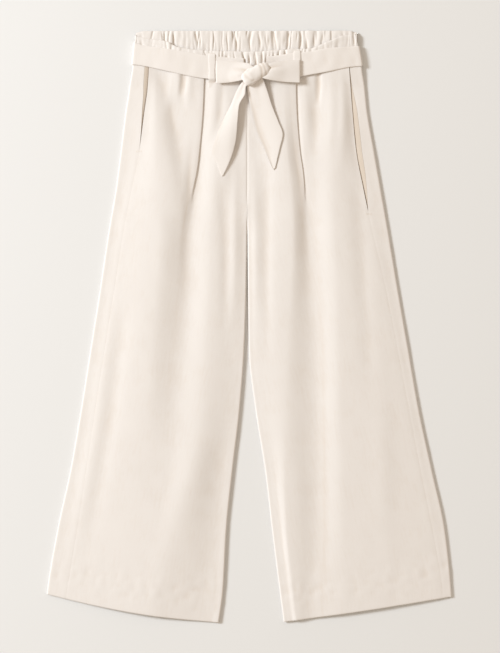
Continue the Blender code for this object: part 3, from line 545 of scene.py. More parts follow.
RIGHT_SECTIONS = [
    Section(6, 172.0, 159, 4.6, 142, 5.5, 71, 3.0, 53, 6.1, -3.3, 5.2),
    Section(46, 180.4, 159, 4.6, 142, 5.5, 71, 3.0, 53, 6.1, -3.3, 5.2),
    Section(94, 185.4, 162, 4.7, 147, 6.4, 72, 3.3, 56, 6.6, -3.3, 4.8),
    Section(126, 188.6, 164.5, 4.8, 147, 7.0, 73, 3.3, 56, 6.9, -3.3, 4.7),
    Section(190, 199.6, 170.5, 5.0, 138, 7.7, 78, 3.0, 59, 7.9, -3.3, 4.7),
    Section(254, 210.8, 182.5, 5.0, 135, 8.0, 88, 2.8, 66, 8.3, -3.3, 5.0),
    Section(318, 222.0, 196.4, 5.0, 137, 8.1, 94, 2.8, 69, 8.1, -3.0, 5.2),
    Section(414, 238.0, 218.6, 4.9, 143, 8.2, 98, 3.1, 66, 7.5, -2.0, 5.2),
    Section(510, 254.8, 237.4, 4.8, 145, 8.3, 103, 3.4, 60, 7.4, -0.7, 5.2),
    Section(606, 271.6, 255.6, 4.7, 146, 8.4, 105, 3.7, 58, 7.6, 10.0, 5.0),
    Section(702, 292.4, 273.8, 4.6, 150, 8.3, 106, 4.0, 57, 7.7, 25.2, 5.0),
    Section(798, 313.2, 293.0, 4.5, 151, 7.8, 106, 4.2, 60, 7.4, 36.4, 5.0),
    Section(894, 323.2, 308.6, 4.3, 152, 6.7, 102, 4.5, 70, 6.6, 48.4, 4.8),
    Section(946, 326.0, 312.0, 4.2, 152, 6.0, 102, 4.5, 76, 6.0, 55.1, 4.6),
]

# %% [markdown]
# Smaller folds start and end within a leg: a slanting one that runs down from the left hand opening, tucks
# that the belt presses in at the waist, and soft ripples beside the centre seam. Each follows a smooth line
# through three points, grows and fades along it, and can be steeper on one side than on the other.

# %% Smaller folds
Fold = namedtuple("Fold", "down_1 out_1 down_2 out_2 down_3 out_3 wide_out wide_in height")

LEFT_FOLDS = [
    Fold(18, 168, 118, 124, 290, 98, 15, 24, -3.6),  # slants down from the hand opening
    Fold(150, 98, 280, 109, 450, 119, 26, 11, 2.4),  # the cloth swells beside the pleat
    Fold(50, 112, 84, 113, 130, 120, 10, 6, 1.4),  # stands up outside the tuck
    Fold(56, 104.5, 78, 105, 108, 110, 4, 4, -2.8),  # tuck under the belt
    Fold(58, 92, 90, 96, 130, 100, 5, 6, 0.9),
    Fold(62, 122, 92, 126, 140, 134, 7, 7, 0.8),
    Fold(70, 42, 130, 47, 190, 62, 7, 7, -1.3),  # slants away from under the left belt end
    Fold(100, 30, 170, 34, 260, 40, 8, 8, 0.8),
    Fold(230, 44, 360, 38, 500, 40, 8, 10, -1.0),  # ripples beside the centre seam
    Fold(200, 22, 350, 23, 480, 26, 8, 7, 1.0),
    Fold(430, 216, 620, 240, 860, 282, 12, 12, 0.7),
    Fold(430, 196, 620, 222, 860, 262, 13, 13, -0.9),  # shallow hollow inside the side seam
    Fold(640, 70, 760, 84, 900, 100, 24, 22, 0.7),
]

RIGHT_FOLDS = [
    Fold(56, 110, 80, 111, 120, 110, 3.5, 4.5, -2.6),  # tuck under the belt
    Fold(76, 106, 130, 106, 204, 103, 9, 10, -1.1),
    Fold(66, 90, 130, 92, 200, 96, 9, 9, 1.2),
    Fold(66, 80, 190, 86, 310, 101, 14, 5, 1.6),  # the cloth swells beside the pleat
    Fold(80, 163, 180, 169, 285, 190, 7, 8, -1.2),  # the soft edge of the hand opening
    Fold(60, 128, 120, 132, 210, 128, 10, 9, 1.2),
    Fold(64, 148, 130, 150, 230, 146, 8, 8, 0.8),
    Fold(200, 28, 380, 27, 540, 30, 9, 9, -1.1),  # ripple beside the centre seam
    Fold(200, 8, 330, 10, 470, 12, 7, 7, 0.8),
    Fold(230, 172, 400, 182, 600, 196, 13, 13, -1.0),
    Fold(560, 210, 700, 214, 900, 224, 16, 18, 0.8),
    Fold(660, 78, 780, 82, 900, 92, 14, 14, 0.5),
]

# %% Edges, seams and openings of the legs
CLOTH = 1.0  # thickness of the crepe
SEAM_GAP = 0.04  # between two pieces that are sewn together
REST_GAP = 0.3  # between two that only lie on each other
SIDE_REACH, SIDE_TOP = 3.0, 3.9  # the rounded side fold: how wide it is, and how high
CROTCH, ROLLED = 288.0, 330.0  # the inner edges lie flat above the crotch and roll under below it
ROLL, ROLL_TOP = 2.0, 4.3
SHOULDER = 13.0  # where the cloth starts to fall towards the inner edge
FRONT_FULLNESS = 1.28  # how much higher the soft cloth stands than the plain solid, away from the belt
LOWEST = 2.4 + REST_GAP  # where two layers lie flat on each other

Hem = namedtuple("Hem", "outer inner bow")
PocketGap = namedtuple("PocketGap", "down gap")
LEFT_HEM, RIGHT_HEM = Hem(900.0, 946.0, 7.0), Hem(904.0, 945.0, 1.5)
LEFT_POCKET = [
    PocketGap(52, 7.0), PocketGap(80, 7.2), PocketGap(112, 5.0), PocketGap(150, 2.2),
    PocketGap(190, SEAM_GAP),
]
RIGHT_POCKET = [
    PocketGap(64, 1.2), PocketGap(91, 3.2), PocketGap(129, 8.0), PocketGap(178, 9.5), PocketGap(219, 9.0),
    PocketGap(254, 5.5), PocketGap(290, SEAM_GAP),
]

BELT_WALL = 1.6
BELT_LIFT = BELT_WALL + REST_GAP  # the belt passes under the back and holds it off the table
LIFT_ENDS = (60.0, 92.0)


def belt_lift(down):
    return BELT_LIFT * (1 - smoothstep(down, *LIFT_ENDS))


# %% [markdown]
# Small things give a seam away: the two edges dip into it, and the thread pulls tiny puckers along it. A
# hand opening has a soft raised lip. At the hem the cloth is turned up inside, so it stands a hair higher
# below a faint line, where the blind stitches pull it in at every few millimetres.

# %% Sizes of seams, hems and pleats
GROOVE_DEPTH, GROOVE_WIDTH, PUCKER_PITCH = 0.18, 1.8, 7.5  # the groove of a side seam
CENTRE_DEPTH, CENTRE_WIDTH, CENTRE_FADE = 0.65, 1.5, 30.0  # the groove of the centre front seam
LIP_HEIGHT, LIP_WIDTH, MOUTH_FADE = 0.5, 6.0, 25.0  # the lip of a hand opening, and its fading end
TURN_UP, TURN_STEP = 46.0, 0.06  # the height of the hem's turn-up, and how much it thickens the leg
PRICK_DEPTH, PRICK_PITCH, PRICK_SIZE, PRICK_PATCH = 0.05, 8.0, 3.2, 13.0  # dimples of the blind stitches
MOTTLE_HEIGHT, MOTTLE_REACH = 0.26, 26.0  # puckers scattered round the blind stitches
FOLD_EARLY = 0.8  # under 1, a small fold is highest a little before its middle
FULL_DOWN, FULL_INWARD = (90, 190), (3, 30)  # the fullness sets in below the waist and inward from the side
BROAD_WAVES, FINE_WAVES = 0.16, 0.035  # the slight unevenness of the whole front
SOFT_FLOOR = 0.1  # how gently the front levels out where it would sink into the back
UNDER_BELT, BELT_EDGE = 8.2, 78.0  # the belt keeps the cloth down to this height as far as this
RELEASE_HEIGHT, RELEASE_LENGTH = 40.0, 60.0  # and lets it go over this height and length
OVERLAP_ENDS, STEP_ENDS = (212.0, 285.0), (245.0, 340.0)  # where the pleat opens, and where its step dies
PLEAT_LAYER = 1.15  # from one layer of the pleat to the next

# %% The height of the front, everywhere
class Leg:
    """One leg's lines across it, and the heights of its front panel."""

    def __init__(self, name, side, lap, sections, folds, pocket, hem):
        self.name, self.side, self.lap = name, side, lap  # lap is 1 where the pleat's inner side lies on top
        self.sections, self.folds, self.pocket, self.hem = sections, folds, pocket, hem

    def line(self, name, down):
        width = table_curve(self.sections, "down", name, down)
        return width - belt_lift(down) if name == "outer" else width

    def pocket_gap(self, down):
        return table_curve(self.pocket, "down", "gap", down)

    def hem_down(self, out):
        """The hem's line, between its two corners."""
        outer, inner = (self.line(name, self.hem.outer) for name in ("outer", "inner"))
        across = np.clip((outer - out) / (outer - inner), 0.0, 1.0)
        bowed = self.hem.bow * np.sin(math.pi * across)
        return self.hem.outer + (self.hem.inner - self.hem.outer) * across + bowed

    def small_folds(self, out, down):
        total = np.zeros(out.shape)
        for fold in self.folds:
            downs, outs = [fold.down_1, fold.down_2, fold.down_3], [fold.out_1, fold.out_2, fold.out_3]
            middle = curve(down, downs, outs)
            along = np.clip((down - fold.down_1) / (fold.down_3 - fold.down_1), 0.0, 1.0)
            width = np.where(out > middle, fold.wide_out, fold.wide_in)
            grown = np.sin(math.pi * along**FOLD_EARLY)
            total += fold.height * grown * np.exp(-(((out - middle) / width) ** 2))
        return total

    def sewn_details(self, out, down, seam, inner):
        """The grooves of the seams, the lip of the hand opening, and the turned-up hem."""
        mouth = 1 - smoothstep(down, self.pocket[-1].down - MOUTH_FADE, self.pocket[-1].down)
        pucker = 0.7 + 0.3 * np.sin(2 * math.pi * down / PUCKER_PITCH + 1.5 * np.sin(down / 31.0))
        groove = -GROOVE_DEPTH * pucker * (1 - mouth) * np.exp(-(((out - seam) / GROOVE_WIDTH) ** 2))
        above_crotch = 1 - smoothstep(down, CROTCH - CENTRE_FADE, CROTCH)
        groove = groove - CENTRE_DEPTH * above_crotch * np.exp(-(((out - inner) / CENTRE_WIDTH) ** 2))
        lip = LIP_HEIGHT * mouth * np.exp(-(((out - seam) / LIP_WIDTH) ** 2)) * (out <= seam + 0.01)
        from_hem = self.hem_down(out) - down
        turned = TURN_STEP * smoothstep(TURN_UP + 2 - from_hem, 0.0, 4.0)
        row = np.exp(-(((from_hem - TURN_UP) / PRICK_SIZE) ** 2))
        prick = 0.5 + 0.5 * np.cos(2 * math.pi * (out + 1.3 * np.sin(out / 17.0)) / PRICK_PITCH)
        about = np.exp(-(((from_hem - TURN_UP + 4) / MOTTLE_REACH) ** 2))
        mottle = MOTTLE_HEIGHT * about * uneven(out * self.side, down * 0.9, 14, 60, 17)
        patchy = 0.5 + 0.5 * np.sin(out / PRICK_PATCH)
        return groove + lip + turned + mottle - PRICK_DEPTH * row * prick**2 * patchy

    def top(self, out, down, pleat_share=None):
        """Height of the front's upper face. pleat_share is 1 on a pleat's top layer and 0 on its lowest."""
        out, down = np.broadcast_arrays(np.asarray(out, float), np.asarray(down, float))
        lines = {name: self.line(name, down) for name in Section._fields[1:]}
        rolled = smoothstep(down, CROTCH, ROLLED)
        places = [
            -(lines["outer"] - SIDE_REACH),
            -lines["seam"],
            -lines["crest"],
            -lines["valley"],
            -lines["ridge"],
            -(lines["inner"] + SHOULDER),
            -(lines["inner"] + ROLL * rolled),
        ]
        heights = [
            SIDE_TOP,
            lines["seam_z"],
            lines["crest_z"],
            lines["valley_z"],
            lines["ridge_z"],
            lines["inner_z"],
            lines["inner_z"] + (ROLL_TOP - lines["inner_z"]) * rolled,
        ]
        height = curve(-out, places, heights, flat_ends=True) + self.small_folds(out, down)
        growing = (FRONT_FULLNESS - 1) * smoothstep(down, *FULL_DOWN)
        fullness = 1 + growing * smoothstep(lines["outer"] - out, *FULL_INWARD)
        height = LOWEST + (height - LOWEST) * fullness
        height = height + self.sewn_details(out, down, lines["seam"], lines["inner"])
        height = height + BROAD_WAVES * uneven(out * self.side, down, 28, 110, 5)
        height = height + FINE_WAVES * uneven(out * self.side, down, 7, 16, 8)
        over = height - LOWEST
        height = LOWEST + 0.5 * (over + np.sqrt(over**2 + SOFT_FLOOR))
        if pleat_share is None:
            pleat_share = np.where((lines["valley"] - out) * self.lap > 0, 1.0, 0.0)
        reach = lines["valley"] - lines["ridge"] if self.lap > 0 else lines["crest"] - lines["valley"]
        fades = 1 - smoothstep((lines["valley"] - out) * self.lap, 0, reach)
        step = 2 * PLEAT_LAYER * (1 - smoothstep(down, *STEP_ENDS))
        height = height + step * pleat_share * fades + belt_lift(down)
        held = UNDER_BELT + RELEASE_HEIGHT * smoothstep(down, BELT_EDGE, BELT_EDGE + RELEASE_LENGTH)
        return np.minimum(height, held)


LEGS = [
    Leg("left", -1, -1, LEFT_SECTIONS, LEFT_FOLDS, LEFT_POCKET, LEFT_HEM),
    Leg("right", 1, 1, RIGHT_SECTIONS, RIGHT_FOLDS, RIGHT_POCKET, RIGHT_HEM),
]
CENTRE = -LEFT_SECTIONS[0].inner  # X of the centre front and centre back seams
for leg in LEGS:
    print(leg.name, "hem:", round(leg.sections[-1].outer - leg.sections[-1].inner), "mm wide")

# %% Where the waistband meets the legs
Edge = namedtuple("Edge", "x down")
BAND_HEIGHT = 40.0
WAIST_GAP = 0.6
BACK_WAIST_CENTRE = 42.4
FRONT_BAND_TOP = [
    Edge(-186, 8), Edge(-160, 13), Edge(-134, 17), Edge(-112, 27), Edge(-80, 31.5), Edge(0, 34),
    Edge(60, 30.5), Edge(98, 28.5), Edge(122, 19), Edge(158, 6.5), Edge(178, 6),
]
BACK_BAND_TOP = [
    Edge(-186, 8), Edge(-179, 3), Edge(-166, 0.6), Edge(0, 0.4), Edge(158, 0.0), Edge(169, 2.0),
    Edge(178, 6),
]


def front_band_top(x):
    return table_curve(FRONT_BAND_TOP, "x", "down", x)


def front_waist(x):
    return front_band_top(x) + BAND_HEIGHT


def back_waist(x):
    """The back waist seam: it bows up to the centre, and meets the front one at each side fold."""
    side_x = np.where(np.asarray(x) < 0, FRONT_BAND_TOP[0].x, FRONT_BAND_TOP[-1].x)
    return BACK_WAIST_CENTRE + (front_waist(side_x) - BACK_WAIST_CENTRE) * np.minimum(x / side_x, 1) ** 2


# %% [markdown]
# ### The rows and columns of a panel
#
# The columns of a panel lean and curve, and both the waist seam and the hem are curved, so where a column
# starts and ends isn't known before its own shape is. Four rounds settle it: guess where the column
# meets the edge, look where the column is there, and read the edge again. The last rows lie close together,
# so that the hem can turn over softly instead of ending in a cut.

# %% Rows of a panel
PANEL_ROWS = 290
HEM_ROLL, HEM_FALL = 2.2, 0.8  # the last of the cloth at the hem, and how far it falls
HEM_STEPS = (0.62, 0.3, 0.1, 0.0)
ROUNDS, WAIST_GUESS = 4, 48.0
ROW_CROWDING = 1.08  # over 1, rows lie closer together at the waist


def panel_grid(leg, place, waist, count):
    """(out, down) of a whole panel. place(column, down) gives each column's place across."""
    column = np.broadcast_to(np.arange(count, dtype=float), (1, count))
    top, bottom = np.full((1, count), WAIST_GUESS), np.full((1, count), leg.hem.inner)
    for _ in range(ROUNDS):
        top = waist(leg.side * place(column, top)) + WAIST_GAP
        bottom = leg.hem_down(place(column, bottom))
    share = np.linspace(0, 1, PANEL_ROWS)[:, None] ** ROW_CROWDING
    body = top + (bottom - HEM_ROLL - top) * share
    down = np.concatenate([body] + [bottom - HEM_ROLL * step for step in HEM_STEPS])
    return place(np.broadcast_to(column, down.shape), down), down


def hem_fall(leg, out, down):
    left = np.clip((leg.hem_down(out) - down) / HEM_ROLL, 0.0, 1.0)
    return HEM_FALL * (1 - np.sqrt(1 - (1 - left) ** 2))


# %% [markdown]
# ### The front panel and its pleat
#
# Below the waist each front has one pleat, a flat Z of three layers. It can't be a height over the table,
# because there the cloth lies above itself. So its section is drawn as a path: along the top layer, round a
# half circle, back under itself, round another, and on. Further down the Z pulls open: every point slides
# from its folded place to its place in the flat cloth, and the pleat dies away into the valley. In the
# picture both pleats show their edge on the same side, so the left one laps over towards the middle and the
# right one away from it.

# %% The section of a pleat
PLEAT_OVERLAP = 4.0
PLEAT_HALF_WIDTHS = (4.5, 14.0)  # of the strip that holds the pleat, at the waist and in the open valley
PLEAT_WIDENS = (235.0, 400.0)
BEND_STEPS = 5
PleatPoint = namedtuple("PleatPoint", "side overlap bulge layers")


def pleat_bend(end, layer):
    """A half circle at one end of the overlap, from the layer above to the layer below."""
    turns = [math.pi * k / BEND_STEPS for k in range(BEND_STEPS + 1)]
    return [PleatPoint(0, end, end * math.sin(turn), layer + 0.5 * math.cos(turn)) for turn in turns]


PLEAT_POINTS = [
    PleatPoint(-1, 0, 0, 2.0),
    *pleat_bend(0.5, 1.5),
    *pleat_bend(-0.5, 0.5),
    PleatPoint(1, 0, 0, 0.0),
]
PLEAT_TABLE = {
    name: np.array([getattr(point, name) for point in PLEAT_POINTS]) for name in PleatPoint._fields
}
LAST = len(PLEAT_POINTS) - 1


def pleat_place(leg, number, down):
    """Where a point of the pleat lies at each down, and its share of the pleat's step."""
    number = np.clip(np.rint(number), 0, LAST).astype(int)
    number = number if leg.lap > 0 else LAST - number
    side, overlap, bulge, layers = (PLEAT_TABLE[name][number] for name in PleatPoint._fields)
    closed = smoothstep(down, *OVERLAP_ENDS)
    narrow, wide = PLEAT_HALF_WIDTHS
    half_width = narrow + (wide - narrow) * smoothstep(down, *PLEAT_WIDENS)
    folded = side * half_width + overlap * PLEAT_OVERLAP + bulge * PLEAT_LAYER
    opened = half_width * (2 * number / LAST - 1)
    share = layers / 2 + (1 - smoothstep(number / LAST, 0, 1) - layers / 2) * closed
    return leg.line("valley", down) + leg.lap * (folded + (opened - folded) * closed), share


# %% The front panels
SIDE_COLUMNS, CENTRE_COLUMNS, ROLL_STEPS = 46, 38, 6
SEAM_CROWDING = 1.35  # over 1, columns lie closer together at the side seam
FRONT_CUT = Cut(0.30, 0.95, 0.225, "laid", ["back_left_cloth", "back_right_cloth"])


def roll_turn(column):
    """Angle of the rolled inner edge at a column of the roll, from a quarter turn to none."""
    return math.pi / 2 * (1 - np.clip(column, 0, ROLL_STEPS) / ROLL_STEPS)


def front_place(leg, column, down):
    """Place across of each column: side seam, pleat, inner part, rolled inner edge."""
    pleat = LAST - (column - SIDE_COLUMNS)
    inner = column - SIDE_COLUMNS - LAST
    roll = inner - CENTRE_COLUMNS
    seam = leg.line("seam", down)
    share = np.clip(column / SIDE_COLUMNS, 0, 1) ** SEAM_CROWDING
    by_side = seam + (pleat_place(leg, LAST, down)[0] - seam) * share
    share = np.clip(inner / CENTRE_COLUMNS, 0, 1)
    inner_edge = leg.line("inner", down)
    flat_start = inner_edge + CLOTH / 2 + ROLL
    pleat_start = pleat_place(leg, 0, down)[0]
    by_centre = pleat_start + (flat_start - pleat_start) * share
    rolled = smoothstep(down, CROTCH, ROLLED)
    flat_place = SEAM_GAP / 2 + (CLOTH / 2 + ROLL) * (1 - np.clip(roll, 0, ROLL_STEPS) / ROLL_STEPS)
    rolled_place = CLOTH / 2 + ROLL * (1 - np.cos(roll_turn(roll)))
    by_roll = inner_edge + flat_place + (rolled_place - flat_place) * rolled
    result = np.where(pleat > LAST, by_side, pleat_place(leg, pleat, down)[0])
    return np.where(roll >= 0, by_roll, np.where(inner > 0, by_centre, result))


def front_panel(leg):
    count = SIDE_COLUMNS + LAST + CENTRE_COLUMNS + ROLL_STEPS + 1
    out, down = panel_grid(leg, lambda column, d: front_place(leg, column, d), front_waist, count)
    column = np.broadcast_to(np.arange(count, dtype=float), out.shape)
    pleat = LAST - (column - SIDE_COLUMNS)
    share = pleat_place(leg, pleat, down)[1]
    roll = column - SIDE_COLUMNS - LAST - CENTRE_COLUMNS
    fall = ROLL * (1 - np.sin(roll_turn(roll))) * smoothstep(down, CROTCH, ROLLED)
    z = leg.top(out, down, share) - CLOTH / 2 - fall - hem_fall(leg, out, down)
    name = "front_" + leg.name
    lay_sheet(name + "_cloth", name, leg.side * out, down, z, CLOTH, "ivory_crepe", FRONT_CUT)


for leg in LEGS:
    front_panel(leg)

# %% [markdown]
# ### The back panel
#
# The back lies flat on the table, rounds the side and comes up to the side seam, where the front begins. The
# turn at the side is a tall half ellipse: cloth that is only folded, not pressed, keeps air in its fold.
# Where the hand opening is, the back's edge draws away from the seam line and leaves the gap.

# %% The back panels
FRONT_STRIP, ARC_STEPS, FLAT_COLUMNS = 10, 10, 44
ARC_END = FRONT_STRIP + ARC_STEPS
BACK_GATHER_HEIGHT, BACK_GATHER_PITCH, BACK_GATHER_MOST = 0.35, 11.0, 0.6
BACK_GATHER_ENDS, BACK_GATHER_START = (50, 110), 3  # they fade down the leg and grow over 3 columns
BACK_CUT = Cut(0.36, 0.95, 0.285, "laid", ["table_top"])


def arc_turn(column):
    """Angle round the side fold at a column, from straight up to straight down."""
    return math.pi / 2 - math.pi * np.clip(column - FRONT_STRIP, 0, ARC_STEPS) / ARC_STEPS


def back_place(leg, column, down):
    """Place across of each column: from the side seam to the side fold, round it and in to the middle."""
    fold_start = leg.line("outer", down) - SIDE_REACH
    seam_edge = leg.line("seam", down) + leg.pocket_gap(down)
    inner_edge = leg.line("inner", down) + SEAM_GAP / 2 * (1 - smoothstep(down, CROTCH, ROLLED))
    strip = seam_edge + (fold_start - seam_edge) * np.clip(column / FRONT_STRIP, 0, 1)
    arc = fold_start + (SIDE_REACH - CLOTH / 2) * np.cos(arc_turn(column))
    inward = np.clip((column - ARC_END) / FLAT_COLUMNS, 0, 1)
    flat = fold_start + (inner_edge - fold_start) * inward
    return np.where(column < FRONT_STRIP, strip, np.where(column <= ARC_END, arc, flat))


def back_panel(leg):
    count = ARC_END + FLAT_COLUMNS + 1
    on_front = (np.arange(count) <= FRONT_STRIP + ARC_STEPS // 2)[None, :]

    def waist(x):
        return np.where(on_front, front_waist(x), back_waist(x))

    out, down = panel_grid(leg, lambda column, d: back_place(leg, column, d), waist, count)
    column = np.broadcast_to(np.arange(count, dtype=float), out.shape)
    upper = leg.top(out, down) - CLOTH / 2 - hem_fall(leg, out, down)
    low = CLOTH / 2
    side_top = leg.top(leg.line("outer", down) - SIDE_REACH, down) - CLOTH / 2 - belt_lift(down)
    arc = low + (side_top - low) * (1 + np.sin(arc_turn(column))) / 2 + belt_lift(down)
    waves = 1 + np.sin(2 * math.pi * out / BACK_GATHER_PITCH + 2 * np.sin(out / 23.0))
    gathers = BACK_GATHER_HEIGHT * (1 - smoothstep(down, *BACK_GATHER_ENDS)) * waves
    flat = low + belt_lift(down) + gathers * smoothstep(column, ARC_END, ARC_END + BACK_GATHER_START)
    flat = np.minimum(flat, belt_lift(down) + low + BACK_GATHER_MOST)
    z = np.where(column <= FRONT_STRIP, upper, np.where(column <= ARC_END, arc, flat))
    name = "back_" + leg.name
    lay_sheet(name + "_cloth", name, leg.side * out, down, z, CLOTH, "ivory_crepe", BACK_CUT)


for leg in LEGS:
    back_panel(leg)

# %% [markdown]
# ### The strip inside each hand opening
#
# Between the two edges of a hand opening the pocket's facing shows, a strip of the same crepe seen in shade.
# That shade is painted: the strip gets a browner copy of the crepe, and more painted shade towards the
# front's edge. Beside the front's edge it drops into the pocket. That drop is what draws the thin dark line
# along the opening.

# %% Pocket facings
FACING, FACING_CLEAR = 0.9, 0.1
FACING_UNDER_FRONT = 6.0
FACING_START, FACING_PAST_END = 57.0, 3.0  # from under the belt to just past the opening
FACING_FLOOR = 1.2  # height of what the facing lies on
FACING_ROWS, SLIT = 60, 1.9
# painted shade of each column, deepest under the front's edge and least at the back's edge
FACING_SHADE = np.array([[0.9, 0.9, 0.8, 0.6, 0.4, 0.2]])  # how deep each column lies in shade
FACING_CUT = Cut(0.014, 0.14, None, "laid", ["back_left_cloth", "back_right_cloth"])
FACING_CUT_RIGHT = FACING_CUT._replace(width=0.016, length=0.24)


def pocket_facing(leg, cut):
    down = np.linspace(FACING_START, leg.pocket[-1].down + FACING_PAST_END, FACING_ROWS)[:, None]
    seam, gap = leg.line("seam", down), leg.pocket_gap(down)
    steps = [
        (seam - FACING_UNDER_FRONT + 0 * gap, 0.0),
        (seam - 1.5, 0.0),
        (seam + 0.1, 0.15),
        (seam + SLIT * 0.5, 0.6),
        (seam + SLIT, 0.85),
        (seam + np.maximum(gap, SLIT + 0.6) - 0.1, 1.0),
    ]
    out = np.concatenate([step[0] for step in steps], axis=1)
    low = FACING_FLOOR + REST_GAP + FACING / 2 + belt_lift(down)
    room = leg.top(seam + gap + 2, down) - FACING_CLEAR - FACING / 2 - low
    rise = np.maximum(room, 0.0) * np.array([[step[1] for step in steps]])
    name, x = "pocket_facing_" + leg.name, leg.side * out
    lay_sheet(
        name + "_cloth", name, x, down, low + rise, FACING, "ivory_crepe_inside", cut, hollow=FACING_SHADE
    )


for leg, cut in zip(LEGS, (FACING_CUT, FACING_CUT_RIGHT)):
    pocket_facing(leg, cut)

# %% [markdown]
# ## The waistband
#
# A strip of crepe is folded over wide elastic and stitched while the elastic is stretched. When it is let go,
# the cloth shirrs into gathers: soft puffs with short sharp creases between them, no two alike. A sine wave
# would look like corrugated card. So creases are scattered along the band instead. Each one has a place, a
# length, a width, a lean and a depth of its own, drawn with a fixed seed, and a table says how strongly each
# stretch of the band is gathered. A few that catch the eye on the real garment are listed one by one.

# %% Gathers
Strength = namedtuple("Strength", "x share")
Crease = namedtuple("Crease", "x middle reach width lean deep")
BACK_STRENGTH = [
    Strength(-186, 0.5), Strength(-165, 1.0), Strength(-150, 0.75), Strength(-122, 0.9),
    Strength(-112, 0.25), Strength(-95, 0.2), Strength(-84, 0.75), Strength(0, 0.85), Strength(80, 0.95),
    Strength(112, 0.75), Strength(124, 0.4), Strength(138, 0.8), Strength(178, 0.9),
]
FRONT_STRENGTH = [
    Strength(-160, 0.3), Strength(-134, 0.5), Strength(-112, 0.5), Strength(-92, 0.3),
    Strength(-60, 0.55), Strength(-30, 0.9), Strength(60, 0.9), Strength(90, 0.5), Strength(128, 0.45),
    Strength(160, 0.4),
]
BACK_MARKED = [
    Crease(-134.8, 0.25, 0.22, 2.0, 2, 0.9), Crease(-121, 0.3, 0.25, 1.8, -2, 1.0),
    Crease(-84, 0.25, 0.3, 2.2, 5, 0.9), Crease(-78, 0.4, 0.2, 1.6, -3, 0.7),
    Crease(-21, 0.4, 0.4, 2.0, 3, 1.0), Crease(2, 0.3, 0.4, 2.6, -4, 0.9),
    Crease(17, 0.4, 0.3, 2.2, 3, 0.9), Crease(39, 0.3, 0.45, 2.8, 2, 1.2),
    Crease(61, 0.4, 0.3, 2.2, -4, 0.9), Crease(82, 0.3, 0.4, 2.4, 4, 1.0),
    Crease(104, 0.35, 0.3, 2.0, -3, 0.8),
]
FRONT_MARKED = [
    Crease(-8, 0.32, 0.22, 1.8, 7, 1.3), Crease(0, 0.4, 0.22, 1.8, 3, 1.2),
    Crease(10, 0.5, 0.3, 1.6, -2, 0.8), Crease(21, 0.2, 0.25, 2.0, 4, 0.8),
    Crease(27, 0.5, 0.3, 1.6, -2, 0.9), Crease(38, 0.35, 0.2, 1.8, -6, 1.1),
    Crease(47, 0.25, 0.2, 1.6, -5, 1.0), Crease(57, 0.2, 0.16, 1.8, -3, 0.9),
    Crease(-36, 0.3, 0.12, 4.0, 6, 0.9),
]


class Gathers:
    """Creases scattered along a band, and the height of the cloth between them."""

    def __init__(self, start, end, count, strength, marked, seed):
        random = np.random.default_rng(seed)
        gaps = random.uniform(0.3, 1.7, count)
        places = start + (end - start) * np.cumsum(gaps) / gaps.sum()
        shares = table_curve(strength, "x", "share", places)
        self.creases = list(marked)
        for place, share in zip(places, shares):
            middle, reach = random.uniform(-0.05, 1.0), random.uniform(0.14, 0.60)
            width, lean, deep = random.uniform(1.0, 2.7), random.uniform(-6.0, 6.0), random.uniform(0.25, 1.0)
            self.creases.append(Crease(place, middle, reach, width, lean, deep * share))
        self.seed = seed

    def height(self, x, share):
        """0 in the deepest crease and 1 on a puff. share is 0 at the band's top edge and 1 at its seam."""
        x, share = np.broadcast_arrays(np.asarray(x, float), np.asarray(share, float))
        deep = 0.16 + 0.16 * uneven(x, share * 14.0, 7, 22, self.seed)
        for crease in self.creases:
            place = crease.x + crease.lean * (share - crease.middle) + 0.6 * np.sin(7 * share + crease.x)
            along = np.exp(-(((share - crease.middle) / crease.reach) ** 2))
            deep = deep + crease.deep * along * np.exp(-(((x - place) / crease.width) ** 2))
        return 1 - np.clip(deep, 0.0, 1.25)


BACK_GATHERS = Gathers(-188, 184, 74, BACK_STRENGTH, BACK_MARKED, 11)
FRONT_GATHERS = Gathers(-162, 162, 66, FRONT_STRENGTH, FRONT_MARKED, 24)
print("creases:", len(BACK_GATHERS.creases), "at the back,", len(FRONT_GATHERS.creases), "at the front")

# %% Heights of the two bands
CASING = 1.2  # thickness of the band's cloth round its elastic
GATHER_HEIGHT, GATHER_HEIGHT_SIDE, GATHER_FADE = 0.8, 0.3, (115.0, 165.0)
BAND_ENDS, BAND_REACH = 160.0, 1.7
BAND_ROWS, BAND_CROWDING = 22, 1.25  # over 1, rows lie closer together at the band's top edge
BAND_LIP, BAND_LIP_FALL = 0.06, 0.9  # the share of the band over which its top edge rounds off, and how far
BAND_FLOOR = 0.7  # middle of the back band's wall above the belt, in its deepest creases
BAND_SPACING, BAND_SAVING = 1.4, 0.8  # room for two walls, less a little because puffs seldom meet puffs
FRONT_PROUD, BACK_PROUD = 0.9, 0.8  # how far the gathers stand up above the belt
PROUD_ENDS = (0.25, 0.7)
# a crease of the bands this deep gets the full painted shade
BAND_SHADE = 1.3  # how deep a crease must be to look fully warm


def gather_room(x):
    """Half of the height that the gathers have under the belt."""
    return GATHER_HEIGHT + (GATHER_HEIGHT_SIDE - GATHER_HEIGHT) * smoothstep(np.abs(x), *GATHER_FADE)


def back_band_low(x):
    return BELT_LIFT + BAND_FLOOR + 0 * x


def front_band_low(x):
    """Middle of the front band's wall in its creases, which clear the back band's puffs."""
    return back_band_low(x) + 4 * gather_room(x) + BAND_SPACING + REST_GAP - BAND_SAVING


def band_z(x, share, low, gathers, proud):
    """Height of a band: its gathers, standing proud above the belt, and its rounded top edge."""
    free = 1 - smoothstep(share, *PROUD_ENDS)
    height = low + (2 * gather_room(x) + proud * free) * gathers.height(x, share)
    edge = np.clip(1 - share / BAND_LIP, 0, 1)
    return height - BAND_LIP_FALL * edge**2


def band_rows():
    return np.linspace(0, 1, BAND_ROWS) ** BAND_CROWDING


# %% The front band
BAND_COLUMNS, EDGE_DIP = 430, 1.1
FRONT_BAND_CUT = Cut(0.42, 0.046, None, "gathered", ["waistband_back_cloth"])


